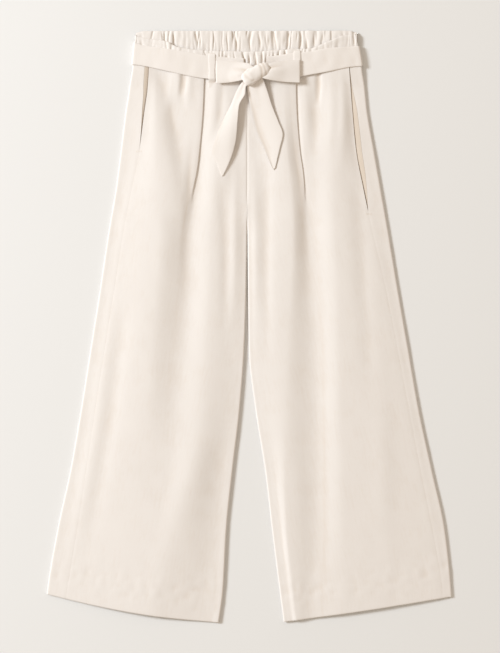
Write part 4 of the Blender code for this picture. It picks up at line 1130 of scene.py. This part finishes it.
def edge_wave(x, gathers):
    """The top edge draws down a little in each crease."""
    return EDGE_DIP * (1 - gathers.height(x, np.zeros_like(x)))


def front_band():
    x = np.linspace(-BAND_ENDS, BAND_ENDS, BAND_COLUMNS)[None, :]
    share = band_rows()[:, None]
    down = front_band_top(x) + edge_wave(x, FRONT_GATHERS) * (1 - share) + BAND_HEIGHT * share
    z = band_z(x, share, front_band_low(x), FRONT_GATHERS, FRONT_PROUD)
    name = "waistband_front"
    lay_sheet(name + "_cloth", name, x, down, z, CASING, "ivory_crepe", FRONT_BAND_CUT, deep=BAND_SHADE)


front_band()

# %% [markdown]
# The back band runs right across behind the front one, and what shows of it above the front's edge is its
# inside. At each end it rounds the side fold and comes up to the side seam. Its columns follow that path in
# one sweep, so the sheet is whole.

# %% The back band
BACK_BAND_CUT = Cut(0.52, 0.046, None, "gathered", ["belt_cloth"])
FOLD_STEPS = 10
SIDE_DOWN = 30.0  # where the outline is measured for the side folds of the band and the belt
BACK_EDGE_SHARE = 0.6  # the back band's edge dips less in its creases than the front one's
FRONT_SPACING, BACK_SPACING = 0.9, 0.8  # from one column to the next


def outline(side, down):
    leg = LEGS[0] if side < 0 else LEGS[1]
    return leg.line("outer", down)


def side_fold(side, reach_out, low, high, start, end, radius, wall):
    """Columns round a side fold, from its upper end to its lower one."""
    columns = []
    for k in range(FOLD_STEPS + 1):
        turn, f = math.pi / 2 - math.pi * k / FOLD_STEPS, k / FOLD_STEPS
        down = start * (1 - f) + end * f
        x = side * (outline(side, down) + reach_out - wall / 2 - radius * (1 - math.cos(turn)))
        columns.append((x, down, (high + low) / 2 + (high - low) / 2 * math.sin(turn) + 0 * x))
    return columns


def back_band():
    share = band_rows()[:, None]

    def front_columns(x):
        down = front_band_top(x) + BAND_HEIGHT * share
        return x + 0 * share, down, band_z(x, share, front_band_low(x), BACK_GATHERS, FRONT_PROUD)

    def back_columns(x):
        top = table_curve(BACK_BAND_TOP, "x", "down", x)
        dip = BACK_EDGE_SHARE * edge_wave(x, BACK_GATHERS) * (1 - share)
        down = top + dip + (back_waist(x) - top) * share
        return x + 0 * share, down, band_z(x, share, back_band_low(x), BACK_GATHERS, BACK_PROUD)

    def side_columns(side, x_end):
        at_end = np.array([x_end])
        front, back = (np.array(columns(at_end))[:, :, 0] for columns in (front_columns, back_columns))
        fold = side_fold(side, 0.0, back[2], front[2], front[1], back[1], BAND_REACH, CASING)
        run = np.arange(BAND_ENDS + SEAM_GAP, abs(x_end) - 0.5, FRONT_SPACING) * side
        parts = [np.array(front_columns(run)), np.stack([np.array(column) for column in fold], axis=-1)]
        columns = np.concatenate(parts, axis=2)
        return columns if side < 0 else columns[:, :, ::-1]

    ends = [side * (float(outline(side, SIDE_DOWN)) - CASING / 2 - BAND_REACH) for side in (-1, 1)]
    middle = np.array(back_columns(np.arange(ends[0] + 1.0, ends[1] - 0.5, BACK_SPACING)))
    x, down, z = np.concatenate([side_columns(-1, ends[0]), middle, side_columns(1, ends[1])], axis=2)
    name = "waistband_back"
    lay_sheet(name + "_cloth", name, x, down, z, CASING, "ivory_crepe", BACK_BAND_CUT, deep=BAND_SHADE)


back_band()

# %% [markdown]
# ## The belt
#
# The belt is a flat tube of crepe, pressed, with crisp edges. It goes once round the waist: from the knot
# over the front to one side, under the back, and up to the knot again. It dips and rises a little over the
# gathers below, and draws into soft creases where the knot pulls on it.

# %% Belt
BELT_TOP_CENTRE, BELT_TOP_SIDE, BELT_FALL = 9.3, 7.6, (125.0, 175.0)
BELT_REACH, BELT_ENDS = 2.2, (-9.0, 27.0)
BELT_RIPPLE, BELT_WAVE = 0.16, 0.10
BELT_PULL, BELT_PULL_X, BELT_PULL_REACH = 0.9, 10.8, 28.0  # creases from the knot, and how they fade
BELT_FRONT_COLUMNS, BELT_BACK_COLUMNS = 80, 60
BELT_SHEET = BELT_WALL - 0.2  # the sheet is a little thinner than the room that the belt takes
BELT_ROWS = np.array([0.0, 0.012, 0.04, 0.1, 0.2, 0.32, 0.44, 0.56, 0.68, 0.8, 0.9, 0.96, 0.988, 1.0])
BELT_EDGE_FALL = np.array([0.45, 0.18, 0.03, 0, 0, 0, 0, 0, 0, 0, 0, 0.03, 0.18, 0.45])  # the rounded edges
BeltEdge = namedtuple("BeltEdge", "x top bottom")
BELT_FRONT = [
    BeltEdge(-186, 18.5, 54), BeltEdge(-167, 24.8, 56.6), BeltEdge(-119, 31.4, 67.4),
    BeltEdge(-66, 40.6, 77.1), BeltEdge(-12, 45, 80), BeltEdge(30, 42, 78), BeltEdge(74, 36.5, 74.6),
    BeltEdge(99, 34, 70.3), BeltEdge(126, 28.8, 65.3), BeltEdge(159, 26.5, 58.6), BeltEdge(180, 25, 56),
]
BELT_BACK = [BeltEdge(-186, 18.5, 54), BeltEdge(0, 8, 44), BeltEdge(180, 25, 56)]
BELT_CUT = Cut(0.036, 0.74, None, "folded", ["waistband_front_cloth", "table_top"])


def belt_middle(x):
    """Height of the middle of the belt's wall where it lies on the front."""
    return BELT_TOP_CENTRE + (BELT_TOP_SIDE - BELT_TOP_CENTRE) * smoothstep(np.abs(x), *BELT_FALL)


def belt_edges(table, x, share):
    top, bottom = (table_curve(table, "x", name, x) for name in ("top", "bottom"))
    return top + (bottom - top) * share


def belt_front_column(x):
    share = BELT_ROWS
    ripple = BELT_RIPPLE * uneven(x, share * 36, 18, 60, 31) + BELT_WAVE * np.sin(x / 4.3 + 3 * share)
    pull = np.exp(-np.abs(x - BELT_PULL_X) / BELT_PULL_REACH)
    crease = BELT_PULL * pull * np.sin(2 * math.pi * (2.2 * share + 0.1))
    down = belt_edges(BELT_FRONT, x, share) + 0.25 * np.sin(x / 9.0) * (share - 0.5)
    return np.full(share.shape, x), down, belt_middle(x) + ripple + crease - BELT_EDGE_FALL


def belt_back_column(x):
    return np.full(BELT_ROWS.shape, x), belt_edges(BELT_BACK, x, BELT_ROWS), BELT_WALL / 2 + 0 * BELT_ROWS


def belt():
    ends = {}
    for side in (-1, 1):
        ends[side] = side * (float(outline(side, SIDE_DOWN)) + BELT_LIFT - BELT_WALL / 2 - BELT_REACH)
    sweep = []
    for side, end in zip((-1, 1), BELT_ENDS):
        x_end = ends[side]
        front, back = belt_front_column(x_end), belt_back_column(x_end)
        fold = side_fold(side, BELT_LIFT, back[2], front[2], front[1], back[1], BELT_REACH, BELT_WALL)
        part = [belt_front_column(x) for x in np.linspace(end, x_end - side * 2.0, BELT_FRONT_COLUMNS)] + fold
        sweep += part if side < 0 else part[::-1]
        if side < 0:
            places = np.linspace(ends[-1] + 3.0, ends[1] - 3.0, BELT_BACK_COLUMNS)
            sweep += [belt_back_column(x) for x in places]
    x, down, z = (np.stack(part, axis=1) for part in zip(*sweep))
    lay_sheet("belt_cloth", "belt", x, down, z, BELT_SHEET, "ivory_crepe_belt", BELT_CUT)


belt()

# %% [markdown]
# ### Belt carriers
#
# Two narrow strips hold the belt. Each is sewn to the band above, bridges the belt and is sewn down again
# below it, where it stands up a little before it turns back to the cloth.

# %% Belt carriers
CARRIER, CARRIER_WIDTH, CARRIER_SLOPE, CARRIER_RISE = 0.8, 11.0, 5.0, 0.15
Carrier = namedtuple("Carrier", "name x top bottom")
CARRIERS = [Carrier("belt_loop_left", -59.6, 36.5, 91.0), Carrier("belt_loop_right", 76.4, 32.0, 86.0)]
CARRIER_CUT = Cut(0.011, 0.06, None, "stretched", ["belt_cloth"])
CARRIER_ROWS, CARRIER_TUCK = 46, 0.8  # the upper end is tucked down by this much
CARRIER_ACROSS = np.array([-0.5, -0.47, -0.4, -0.2, 0.0, 0.2, 0.4, 0.47, 0.5])
CARRIER_EDGE = np.array([0.35, 0.1, 0.0, -0.05, -0.1, -0.05, 0.0, 0.1, 0.35])  # how far each column falls
CARRIER_LOWER = np.array([0.35, -0.8])  # over the front: just below the belt, and at the sewn end
DRAPE_REACH = 4.0  # what lies on the front spans hollows narrower than about twice this


def front_top(x, down):
    """Height of the upper face of the front panels at any place."""
    x, down = np.broadcast_arrays(np.asarray(x, float), np.asarray(down, float))
    left, right = (leg.top(leg.side * x, down) for leg in LEGS)
    return np.where(x < CENTRE, left, right)


def drape_height(x, down):
    """What a stiffish strip lies on: the highest of the front's points near each place."""
    spots = [(0, 0), (1, 0), (-1, 0), (0, 1), (0, -1)]
    return np.max([front_top(x + DRAPE_REACH * i, down + DRAPE_REACH * j) for i, j in spots], axis=0)


def belt_carrier(carrier):
    belt_top, belt_bottom = (
        float(table_curve(BELT_FRONT, "x", name, carrier.x)) for name in ("top", "bottom")
    )
    foot = belt_bottom + CARRIER_SLOPE
    over = float(belt_middle(carrier.x)) + BELT_WALL / 2 + CARRIER / 2 + CARRIER_RISE
    above = float(front_band_low(carrier.x) + 2 * gather_room(carrier.x)) + CASING / 2 + CARRIER / 2
    low = front_top(carrier.x, np.array([foot, carrier.bottom])) + CARRIER_LOWER
    knots = [carrier.top, belt_top - 3.0, belt_top + 1.0, belt_bottom - 1.0, foot, carrier.bottom]
    heights = [above - CARRIER_TUCK, above, over, over + 0.1, *low]
    down = np.linspace(carrier.top, carrier.bottom, CARRIER_ROWS)[:, None]
    z = curve(down[:, 0], knots, heights)[:, None] - CARRIER_EDGE
    x = carrier.x + CARRIER_ACROSS * CARRIER_WIDTH * (0.9 + 0.1 * np.cos(down / 7.0))
    name = carrier.name
    lay_sheet(name + "_cloth", name, x, down, z, CARRIER, "ivory_crepe_belt", CARRIER_CUT)


for carrier in CARRIERS:
    belt_carrier(carrier)

# %% [markdown]
# ## The bow
#
# The bow is four pieces that meet at a knot: two loops and two free ends with slanting cuts. Tied cloth isn't
# smooth near its knot. The knot squeezes a belt of full width into half of it, so folds fan out from there
# and fade. On each piece the rows spread from the knot to the full width, and the folds follow the rows: that
# is how they come to fan out by themselves.

# %% The knot's outline
KNOT_X, KNOT_DOWN, KNOT_Z = 10.8, 69.9, 16.4
KNOT_LENGTH, KNOT_WIDTH, KNOT_HEIGHT = 47.0, 23.5, 12.4
KNOT_TILT = math.radians(30)
BOW = 1.0  # thickness of the bow's cloth


def knot_side(down, side):
    """X of the knot's left or right boundary, as seen from above."""
    c, s = math.cos(KNOT_TILT), math.sin(KNOT_TILT)
    length, width = KNOT_LENGTH / 2, KNOT_WIDTH / 2
    reach = math.hypot(length * s, width * c)
    offset = np.clip(np.asarray(down, float) - KNOT_DOWN, -reach, reach)
    a = (c / length) ** 2 + (s / width) ** 2
    b = 2 * offset * c * s * (1 / width**2 - 1 / length**2)
    free = offset**2 * ((s / length) ** 2 + (c / width) ** 2) - 1
    root = np.sqrt(np.maximum(b * b - 4 * a * free, 0.0))
    return KNOT_X + (-b + side * root) / (2 * a)


# %% [markdown]
# The knot itself is the belt wrapped once round the other pieces and pulled tight. Seen close it is a short
# tilted roll with blunt ends, and the wrap shows as creases that run round it, a little askew. It is a grid
# round the roll's axis, with the creases pressed into it.

# %% The knot
KNOT_TURNS, KNOT_RINGS = 72, 44
KNOT_BOXY, KNOT_BLUNT = 2.4, 3.4  # 2 is an ellipse, more is boxier: across the roll, and along it
KNOT_TAPER, KNOT_WAIST, KNOT_CRUMPLE = 0.12, 0.05, 0.035  # the lower end is the thicker one
KNOT_WALL, KNOT_TIP = 0.9, 0.02  # thickness of its cloth, and the share of its size left at its ends
KNOT_SKEW = 0.6  # by how much, in radians, the creases' lean is turned round the roll
KnotCrease = namedtuple("KnotCrease", "along lean width depth")
KNOT_CREASES = [
    KnotCrease(-0.35, -0.35, 0.10, 0.05),
    KnotCrease(0.24, 0.26, 0.08, 0.11),
    KnotCrease(0.60, 0.12, 0.07, 0.09),
]
KNOT_CUT = Cut(0.036, 0.058, None, "folded", ["bow_loop_left_cloth", "bow_loop_right_cloth"])


def bow_knot():
    along = np.sin(np.linspace(-math.pi / 2, math.pi / 2, KNOT_RINGS))[None, :]
    turn = np.linspace(0, 2 * math.pi, KNOT_TURNS + 1)[:, None]
    size = np.maximum((1 - np.abs(along) ** KNOT_BLUNT) ** (1 / KNOT_BLUNT), KNOT_TIP)
    boxy = (np.abs(np.cos(turn)) ** KNOT_BOXY + np.abs(np.sin(turn)) ** KNOT_BOXY) ** (-1 / KNOT_BOXY)
    pressed = 0.0
    for crease in KNOT_CREASES:
        offset = along - crease.along - crease.lean * np.sin(turn + KNOT_SKEW)
        pressed = pressed + crease.depth * np.exp(-((offset / crease.width) ** 2))
    waist = 1 - KNOT_WAIST * np.exp(-((along / 0.5) ** 2)) - KNOT_TAPER * along
    crumpled = KNOT_CRUMPLE * uneven(along * KNOT_LENGTH / 2, KNOT_WIDTH * np.sin(turn), 7, 16, 3)
    radius = size * boxy * waist * (1 - pressed) * (1 + crumpled)
    across = radius * np.cos(turn) * KNOT_WIDTH / 2
    height = radius * np.sin(turn) * KNOT_HEIGHT / 2
    length = along * KNOT_LENGTH / 2 + 0 * turn
    c, s = math.cos(KNOT_TILT), math.sin(KNOT_TILT)
    x = KNOT_X + length * c - across * s
    down = KNOT_DOWN - (length * s + across * c)
    # painted shade in the creases of the wrap
    depth = np.clip(pressed * 6, 0, 1) + 0 * length
    z = KNOT_Z + height
    lay_sheet(
        "bow_knot_cloth", "bow_knot", x, down, z, KNOT_WALL, "ivory_crepe_belt", KNOT_CUT, hollow=depth
    )


bow_knot()

# %% [markdown]
# A loop leaves the knot, runs out, turns back over itself at its end and returns to the knot. Both layers are
# one sheet, whose columns follow that path. The end is pressed flat, with a hard crease.

# %% The loops
LoopCrease = namedtuple("LoopCrease", "row width depth length")
Loop = namedtuple("Loop", "name side end underside knot_top knot_bottom end_top end_bottom puff creases")
LOOPS = [
    Loop("bow_loop_left", -1, -53.2, 10.2, 61.0, 79.0, 48.8, 84.6, 2.4,
         [LoopCrease(0.34, 0.13, 3.2, 0.75), LoopCrease(0.80, 0.12, 1.6, 0.5)]),
    Loop("bow_loop_right", 1, 80.9, 11.4, 58.0, 76.0, 48.0, 83.7, 2.8,
         [LoopCrease(0.24, 0.12, 2.8, 0.7), LoopCrease(0.72, 0.14, 1.0, 0.45)]),
]
LOOP_COLUMNS, LOOP_TURN = 30, 0.85
LOOP_SPREAD, PINCH_FADE = 0.85, 1.3  # how the rows spread from the knot, and how the creases fade
LOW_ENTRY, HIGH_ENTRY = 0.45, 0.7  # the share of a loop over which each layer comes down from the knot
LOOP_ROWS = np.array([0, 0.02, 0.06, 0.13, 0.22, 0.31, 0.4, 0.5, 0.6, 0.69, 0.78, 0.87, 0.94, 0.98, 1.0])
LOOP_EDGE = np.array([0.3, 0.08, 0, 0, 0, 0, 0, 0, 0, 0, 0, 0, 0, 0.08, 0.3])
KNOT_ENTRY = (14.6, 18.0)  # heights at which a loop's two layers come out of the knot
INTO_KNOT = 4.0
LOOP_CUT = Cut(0.036, 0.115, None, "folded", ["belt_cloth"])


def bow_loop(loop):
    columns = []
    low = loop.underside + BOW / 2

    def rows_at(share):
        """The rows swell from the pinched knot end to the loop's full width."""
        spread = math.sin(math.pi / 2 * share) ** LOOP_SPREAD
        top = loop.knot_top + (loop.end_top - loop.knot_top) * spread
        bottom = loop.knot_bottom + (loop.end_bottom - loop.knot_bottom) * spread
        return top + (bottom - top) * LOOP_ROWS

    def x_at(share, down):
        start = knot_side(down, loop.side) - loop.side * INTO_KNOT
        return start + (loop.end - loop.side * (LOOP_TURN + BOW / 2) - start) * share

    def pinch(share):
        """The creases that run out from the knot along the rows and fade."""
        total = 0.0
        for crease in loop.creases:
            fade = np.clip(1 - share / crease.length, 0, 1) ** PINCH_FADE
            total = total - crease.depth * fade * np.exp(-(((LOOP_ROWS - crease.row) / crease.width) ** 2))
        return total

    for share in np.linspace(0, 1, LOOP_COLUMNS):
        down = rows_at(share)
        z = low + (KNOT_ENTRY[0] - low) * (1 - smoothstep(share, 0, LOW_ENTRY))
        columns.append((x_at(share, down), down, z + 0 * down))
    for turn in np.linspace(-60, 60, 7):
        angle = math.radians(turn)
        down = rows_at(1.0)
        x = x_at(1.0, down) + loop.side * LOOP_TURN * math.cos(angle)
        columns.append((x, down, low + LOOP_TURN * (1 + math.sin(angle)) + 0 * down))
    for share in np.linspace(1, 0, LOOP_COLUMNS):
        down = rows_at(share)
        flat = low + 2 * LOOP_TURN
        arch = loop.puff * math.sin(math.pi * share**0.75) * (0.35 + 0.65 * np.sin(math.pi * LOOP_ROWS))
        z = flat + (KNOT_ENTRY[1] - flat) * (1 - smoothstep(share, 0, HIGH_ENTRY))
        z = z + arch + pinch(share) - LOOP_EDGE
        columns.append((x_at(share, down), down, z))
    x, down, z = (np.stack(part, axis=1) for part in zip(*columns))
    lay_sheet(loop.name + "_cloth", loop.name, x, down, z, BOW, "ivory_crepe_belt", LOOP_CUT)


for loop in LOOPS:
    bow_loop(loop)

# %% [markdown]
# The free ends come out from under the knot, arch over the cloth and settle on it. The left one stands
# highest and throws the deepest shadow of the whole garment, and the right one's left edge stands up a
# little. Both are cut off at a slant and have pressed edges.

# %% The free ends
TailRow = namedtuple("TailRow", "left_x left_down right_x right_down left_lift right_lift arch")
TAILS = {
    "bow_tail_left": [
        TailRow(-9.5, 80.0, 0.4, 85.0, 5.5, 6.0, 1.2),
        TailRow(-13.5, 86.0, -5.6, 91.0, 4.2, 6.2, 1.0),
        TailRow(-20.4, 98.0, -6.6, 101.5, 3.4, 7.2, 0.8),
        TailRow(-28.2, 117.0, -16.2, 120.0, 2.6, 7.4, 0.6),
        TailRow(-40.9, 142.0, -18.8, 143.0, 1.4, 7.2, 0.4),
        TailRow(-55.1, 177.4, -21.0, 171.0, 0.5, 4.6, 0.3),
        TailRow(-59.1, 194.6, -25.0, 190.2, 0.2, 2.9, 0.2),
        TailRow(-50.8, 214.2, -32.0, 210.4, 0.1, 1.6, 0.1),
        TailRow(-43.8, 232.6, -41.7, 231.0, 0.1, 0.4, 0.0),
    ],
    "bow_tail_right": [
        TailRow(0.4, 84.0, 19.0, 73.0, 3.5, 6.0, 1.6),
        TailRow(-3.2, 91.0, 22.3, 79.5, 2.4, 6.4, 1.6),
        TailRow(-1.2, 107.0, 28.4, 96.6, 1.2, 4.8, 1.2),
        TailRow(3.3, 129.8, 36.4, 121.4, 0.6, 2.6, 0.8),
        TailRow(11.3, 161.4, 46.0, 145.4, 0.3, 1.5, 0.5),
        TailRow(22.3, 186.7, 53.2, 166.2, 0.2, 1.1, 0.3),
        TailRow(31.0, 207.4, 48.4, 188.6, 0.1, 0.8, 0.2),
        TailRow(38.0, 222.2, 41.0, 219.8, 0.1, 0.3, 0.0),
    ],
}
TAIL_ROWS_EACH = 9
TAIL_ACROSS = np.array([0, 0.03, 0.09, 0.2, 0.32, 0.44, 0.56, 0.68, 0.8, 0.91, 0.97, 1.0])
TAIL_EDGE = np.array([0.15, 0.04, 0, 0, 0, 0, 0, 0, 0, 0, 0.04, 0.15])
TAIL_CLEAR = 0.1
TAIL_ROLLS = {"bow_tail_left": 0.0, "bow_tail_right": 1.1}  # how far the left edge stands up
TAIL_ROLL_SHARE = 0.05
FAN_HEIGHT, FAN_START, FAN_REACH = 0.6, 85.0, 55.0  # the folds that fan out from the knot
TAIL_CUT = Cut(0.036, 0.15, 0.0044, "laid", ["front_left_cloth", "front_right_cloth"])


def bow_tail(name, table):
    places = np.arange(len(table), dtype=float)
    steps = np.linspace(0, len(table) - 1, TAIL_ROWS_EACH * (len(table) - 1) + 1)
    left_x, left_down, right_x, right_down, left_lift, right_lift, arch = (
        curve(steps, places, [getattr(row, field) for row in table])[:, None] for field in TailRow._fields
    )
    x = left_x + (right_x - left_x) * TAIL_ACROSS
    down = left_down + (right_down - left_down) * TAIL_ACROSS
    from_knot = np.clip(1 - (down - FAN_START) / FAN_REACH, 0, 1)
    fan = FAN_HEIGHT * from_knot * np.sin(2 * math.pi * (1.2 * TAIL_ACROSS + 0.1))
    lift = left_lift + (right_lift - left_lift) * TAIL_ACROSS + arch * np.sin(math.pi * TAIL_ACROSS)
    rolled = TAIL_ROLLS[name] * np.exp(-((TAIL_ACROSS / TAIL_ROLL_SHARE) ** 2))
    z = drape_height(x, down) + TAIL_CLEAR + BOW / 2 + lift + fan + rolled - TAIL_EDGE
    lay_sheet(name + "_cloth", name, x, down, z, BOW, "ivory_crepe_belt", TAIL_CUT)


for name, table in TAILS.items():
    bow_tail(name, table)

# %% [markdown]
# ## Stitches
#
# Sewing repeats, so it is a job for Geometry Nodes: a tree that takes lines and sets a stitch of thread at
# every step along them. It could be done with a loop in the script, but then the stitch could only be changed
# here. The tree keeps its sizes as inputs, and the same tree sews every line of the garment. A stitch is a
# tiny squashed ball, turned along its line, with few faces because there are hundreds of them.

# %% The stitching tree
def stitch_tree():
    tree, entry, result = new_group(
        "stitches_along_lines",
        "GeometryNodeTree",
        [
            ("Lines", "NodeSocketGeometry", None),
            ("Stitch length", "NodeSocketFloat", 2.4 * MM),
            ("Gap", "NodeSocketFloat", 0.8 * MM),
            ("Thread thickness", "NodeSocketFloat", 0.35 * MM),
            ("Unevenness", "NodeSocketFloat", 0.12),
            ("Seed", "NodeSocketInt", 4),
            ("Thread", "NodeSocketMaterial", None),
        ],
        [("Stitches", "NodeSocketGeometry")],
    )
    lines = add_node(tree, "GeometryNodeMeshToCurve")
    link(tree, entry.outputs["Lines"], lines.inputs["Mesh"])
    pitch = add_node(tree, "ShaderNodeMath", operation="ADD")
    link(tree, entry.outputs["Stitch length"], pitch.inputs[0])
    link(tree, entry.outputs["Gap"], pitch.inputs[1])
    spaced = add_node(tree, "GeometryNodeResampleCurve", mode="LENGTH")
    link(tree, lines.outputs["Curve"], spaced.inputs["Curve"])
    link(tree, pitch.outputs[0], spaced.inputs["Length"])
    ball = add_node(tree, "GeometryNodeMeshUVSphere")
    ball.inputs["Segments"].default_value = 6
    ball.inputs["Rings"].default_value = 4
    ball.inputs["Radius"].default_value = 0.5
    size = add_node(tree, "ShaderNodeCombineXYZ")
    link(tree, entry.outputs["Stitch length"], size.inputs[0])
    link(tree, entry.outputs["Thread thickness"], size.inputs[1])
    link(tree, entry.outputs["Thread thickness"], size.inputs[2])
    stitch = add_node(tree, "GeometryNodeTransform")
    link(tree, ball.outputs["Mesh"], stitch.inputs["Geometry"])
    link(tree, size.outputs[0], stitch.inputs["Scale"])
    tangent = add_node(tree, "GeometryNodeInputTangent")
    turn = add_node(tree, "FunctionNodeAlignRotationToVector", axis="X")
    link(tree, tangent.outputs[0], turn.inputs["Vector"])
    low, high = (add_node(tree, "ShaderNodeMath", operation=kind) for kind in ("SUBTRACT", "ADD"))
    for node in (low, high):
        node.inputs[0].default_value = 1.0
        link(tree, entry.outputs["Unevenness"], node.inputs[1])
    vary = add_node(tree, "FunctionNodeRandomValue", data_type="FLOAT")
    link(tree, low.outputs[0], vary.inputs[2])
    link(tree, high.outputs[0], vary.inputs[3])
    link(tree, entry.outputs["Seed"], vary.inputs["Seed"])
    place = add_node(tree, "GeometryNodeInstanceOnPoints")
    link(tree, spaced.outputs["Curve"], place.inputs["Points"])
    link(tree, stitch.outputs["Geometry"], place.inputs["Instance"])
    link(tree, turn.outputs["Rotation"], place.inputs["Rotation"])
    link(tree, vary.outputs[1], place.inputs["Scale"])
    real = add_node(tree, "GeometryNodeRealizeInstances")
    link(tree, place.outputs["Instances"], real.inputs["Geometry"])
    finish = add_node(tree, "GeometryNodeSetMaterial")
    link(tree, real.outputs["Geometry"], finish.inputs["Geometry"])
    link(tree, entry.outputs["Thread"], finish.inputs["Material"])
    link(tree, finish.outputs["Geometry"], result.inputs["Stitches"])
    return tree


STITCHES = stitch_tree()
print("group", STITCHES.name, "with", len(STITCHES.nodes), "nodes")

# %% Sewing along lines
def sew(name, lines, slot="ivory_crepe", **sizes):
    """Stitches along lines of (x, down, z) points in millimetres, as one plain mesh."""
    guide = bpy.data.meshes.new(name + "_lines")
    points, edges = [], []
    for x, down, z in lines:
        x, down, z = np.broadcast_arrays(x, down, z)
        start = len(points)
        points += [(a * MM, (TOP_Y - b) * MM, c * MM) for a, b, c in zip(x.ravel(), down.ravel(), z.ravel())]
        edges += [(k, k + 1) for k in range(start, len(points) - 1)]
    guide.from_pydata(points, edges, [])
    holder = bpy.data.objects.new(name + "_lines", guide)
    bpy.context.scene.collection.objects.link(holder)
    modifier = holder.modifiers.new("sewing", "NODES")
    modifier.node_group = STITCHES
    values = {"Thread": THREAD, **sizes}
    for item in STITCHES.interface.items_tree:
        if item.in_out == "INPUT" and item.name in values:
            modifier[item.identifier] = values[item.name]
    graph = bpy.context.evaluated_depsgraph_get()
    mesh = bpy.data.meshes.new_from_object(holder.evaluated_get(graph))
    bpy.data.objects.remove(holder)
    mesh.name = name
    mesh.shade_smooth()
    piece = bpy.data.objects.new(name, mesh)
    bpy.context.scene.collection.objects.link(piece)
    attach(piece, "root")
    print(f"{name}: {len(mesh.polygons)} faces")


# %% [markdown]
# Three kinds of sewing show on the real garment, if only just. The hem is caught by blind stitches, a prick
# of thread at each few millimetres. A short bar of close stitches locks the lower end of each hand opening.
# The elastic is held by a row of stitches near the band's top edge.

# %% Blind stitches of the hems
PRICK_LENGTH, PRICK_SINK, THREAD_PROUD = 1.1, 0.08, 0.02


def hem_line(leg):
    edges = [leg.line(name, leg.hem.outer - TURN_UP) for name in ("outer", "inner")]
    out = np.linspace(edges[0] - 8, edges[1] + 8, 120)
    down = leg.hem_down(out) - TURN_UP
    return leg.side * out, down, leg.top(out, down) - PRICK_SINK


HEM_STITCH = {
    "Stitch length": PRICK_LENGTH * MM,
    "Gap": (PRICK_PITCH - PRICK_LENGTH) * MM,
    "Thread thickness": 0.3 * MM,
}
sew("hem_stitches", [hem_line(leg) for leg in LEGS], **HEM_STITCH)

# %% Bars at the hand openings
BAR_LENGTH, BAR_ROWS, BAR_PITCH, BAR_POINTS = 8.0, 5, 0.55, 5


def opening_bars(leg):
    """Close rows of stitches across the seam, just below the hand opening."""
    lines = []
    for k in range(BAR_ROWS):
        down = np.full(BAR_POINTS, leg.pocket[-1].down + 2.0 + BAR_PITCH * k)
        out = leg.line("seam", down) + np.linspace(-BAR_LENGTH / 2, BAR_LENGTH / 2, BAR_POINTS)
        lines.append((leg.side * out, down, leg.top(out, down) + THREAD_PROUD))
    return lines


BAR_STITCH = {"Stitch length": 1.8 * MM, "Gap": 0.1 * MM, "Thread thickness": 0.3 * MM}
sew("opening_bars", [line for leg in LEGS for line in opening_bars(leg)], **BAR_STITCH)

# %% The row of stitches along the waistband
BAND_ROW_END, BAND_ROW_SHARE, BAND_ROW_POINTS = 158, 0.17, 700


def band_row():
    """A row of stitches a little below the front band's top edge, riding over the gathers."""
    x = np.linspace(-BAND_ROW_END, BAND_ROW_END, BAND_ROW_POINTS)
    share = np.full(x.shape, BAND_ROW_SHARE)
    down = front_band_top(x) + edge_wave(x, FRONT_GATHERS) * (1 - share) + BAND_HEIGHT * share
    z = band_z(x, share, front_band_low(x), FRONT_GATHERS, FRONT_PROUD)
    return x, down, z + CASING / 2 + THREAD_PROUD


BAND_STITCH = {"Stitch length": 1.9 * MM, "Gap": 0.9 * MM, "Thread thickness": 0.28 * MM}
sew("band_stitches", [band_row()], **BAND_STITCH)
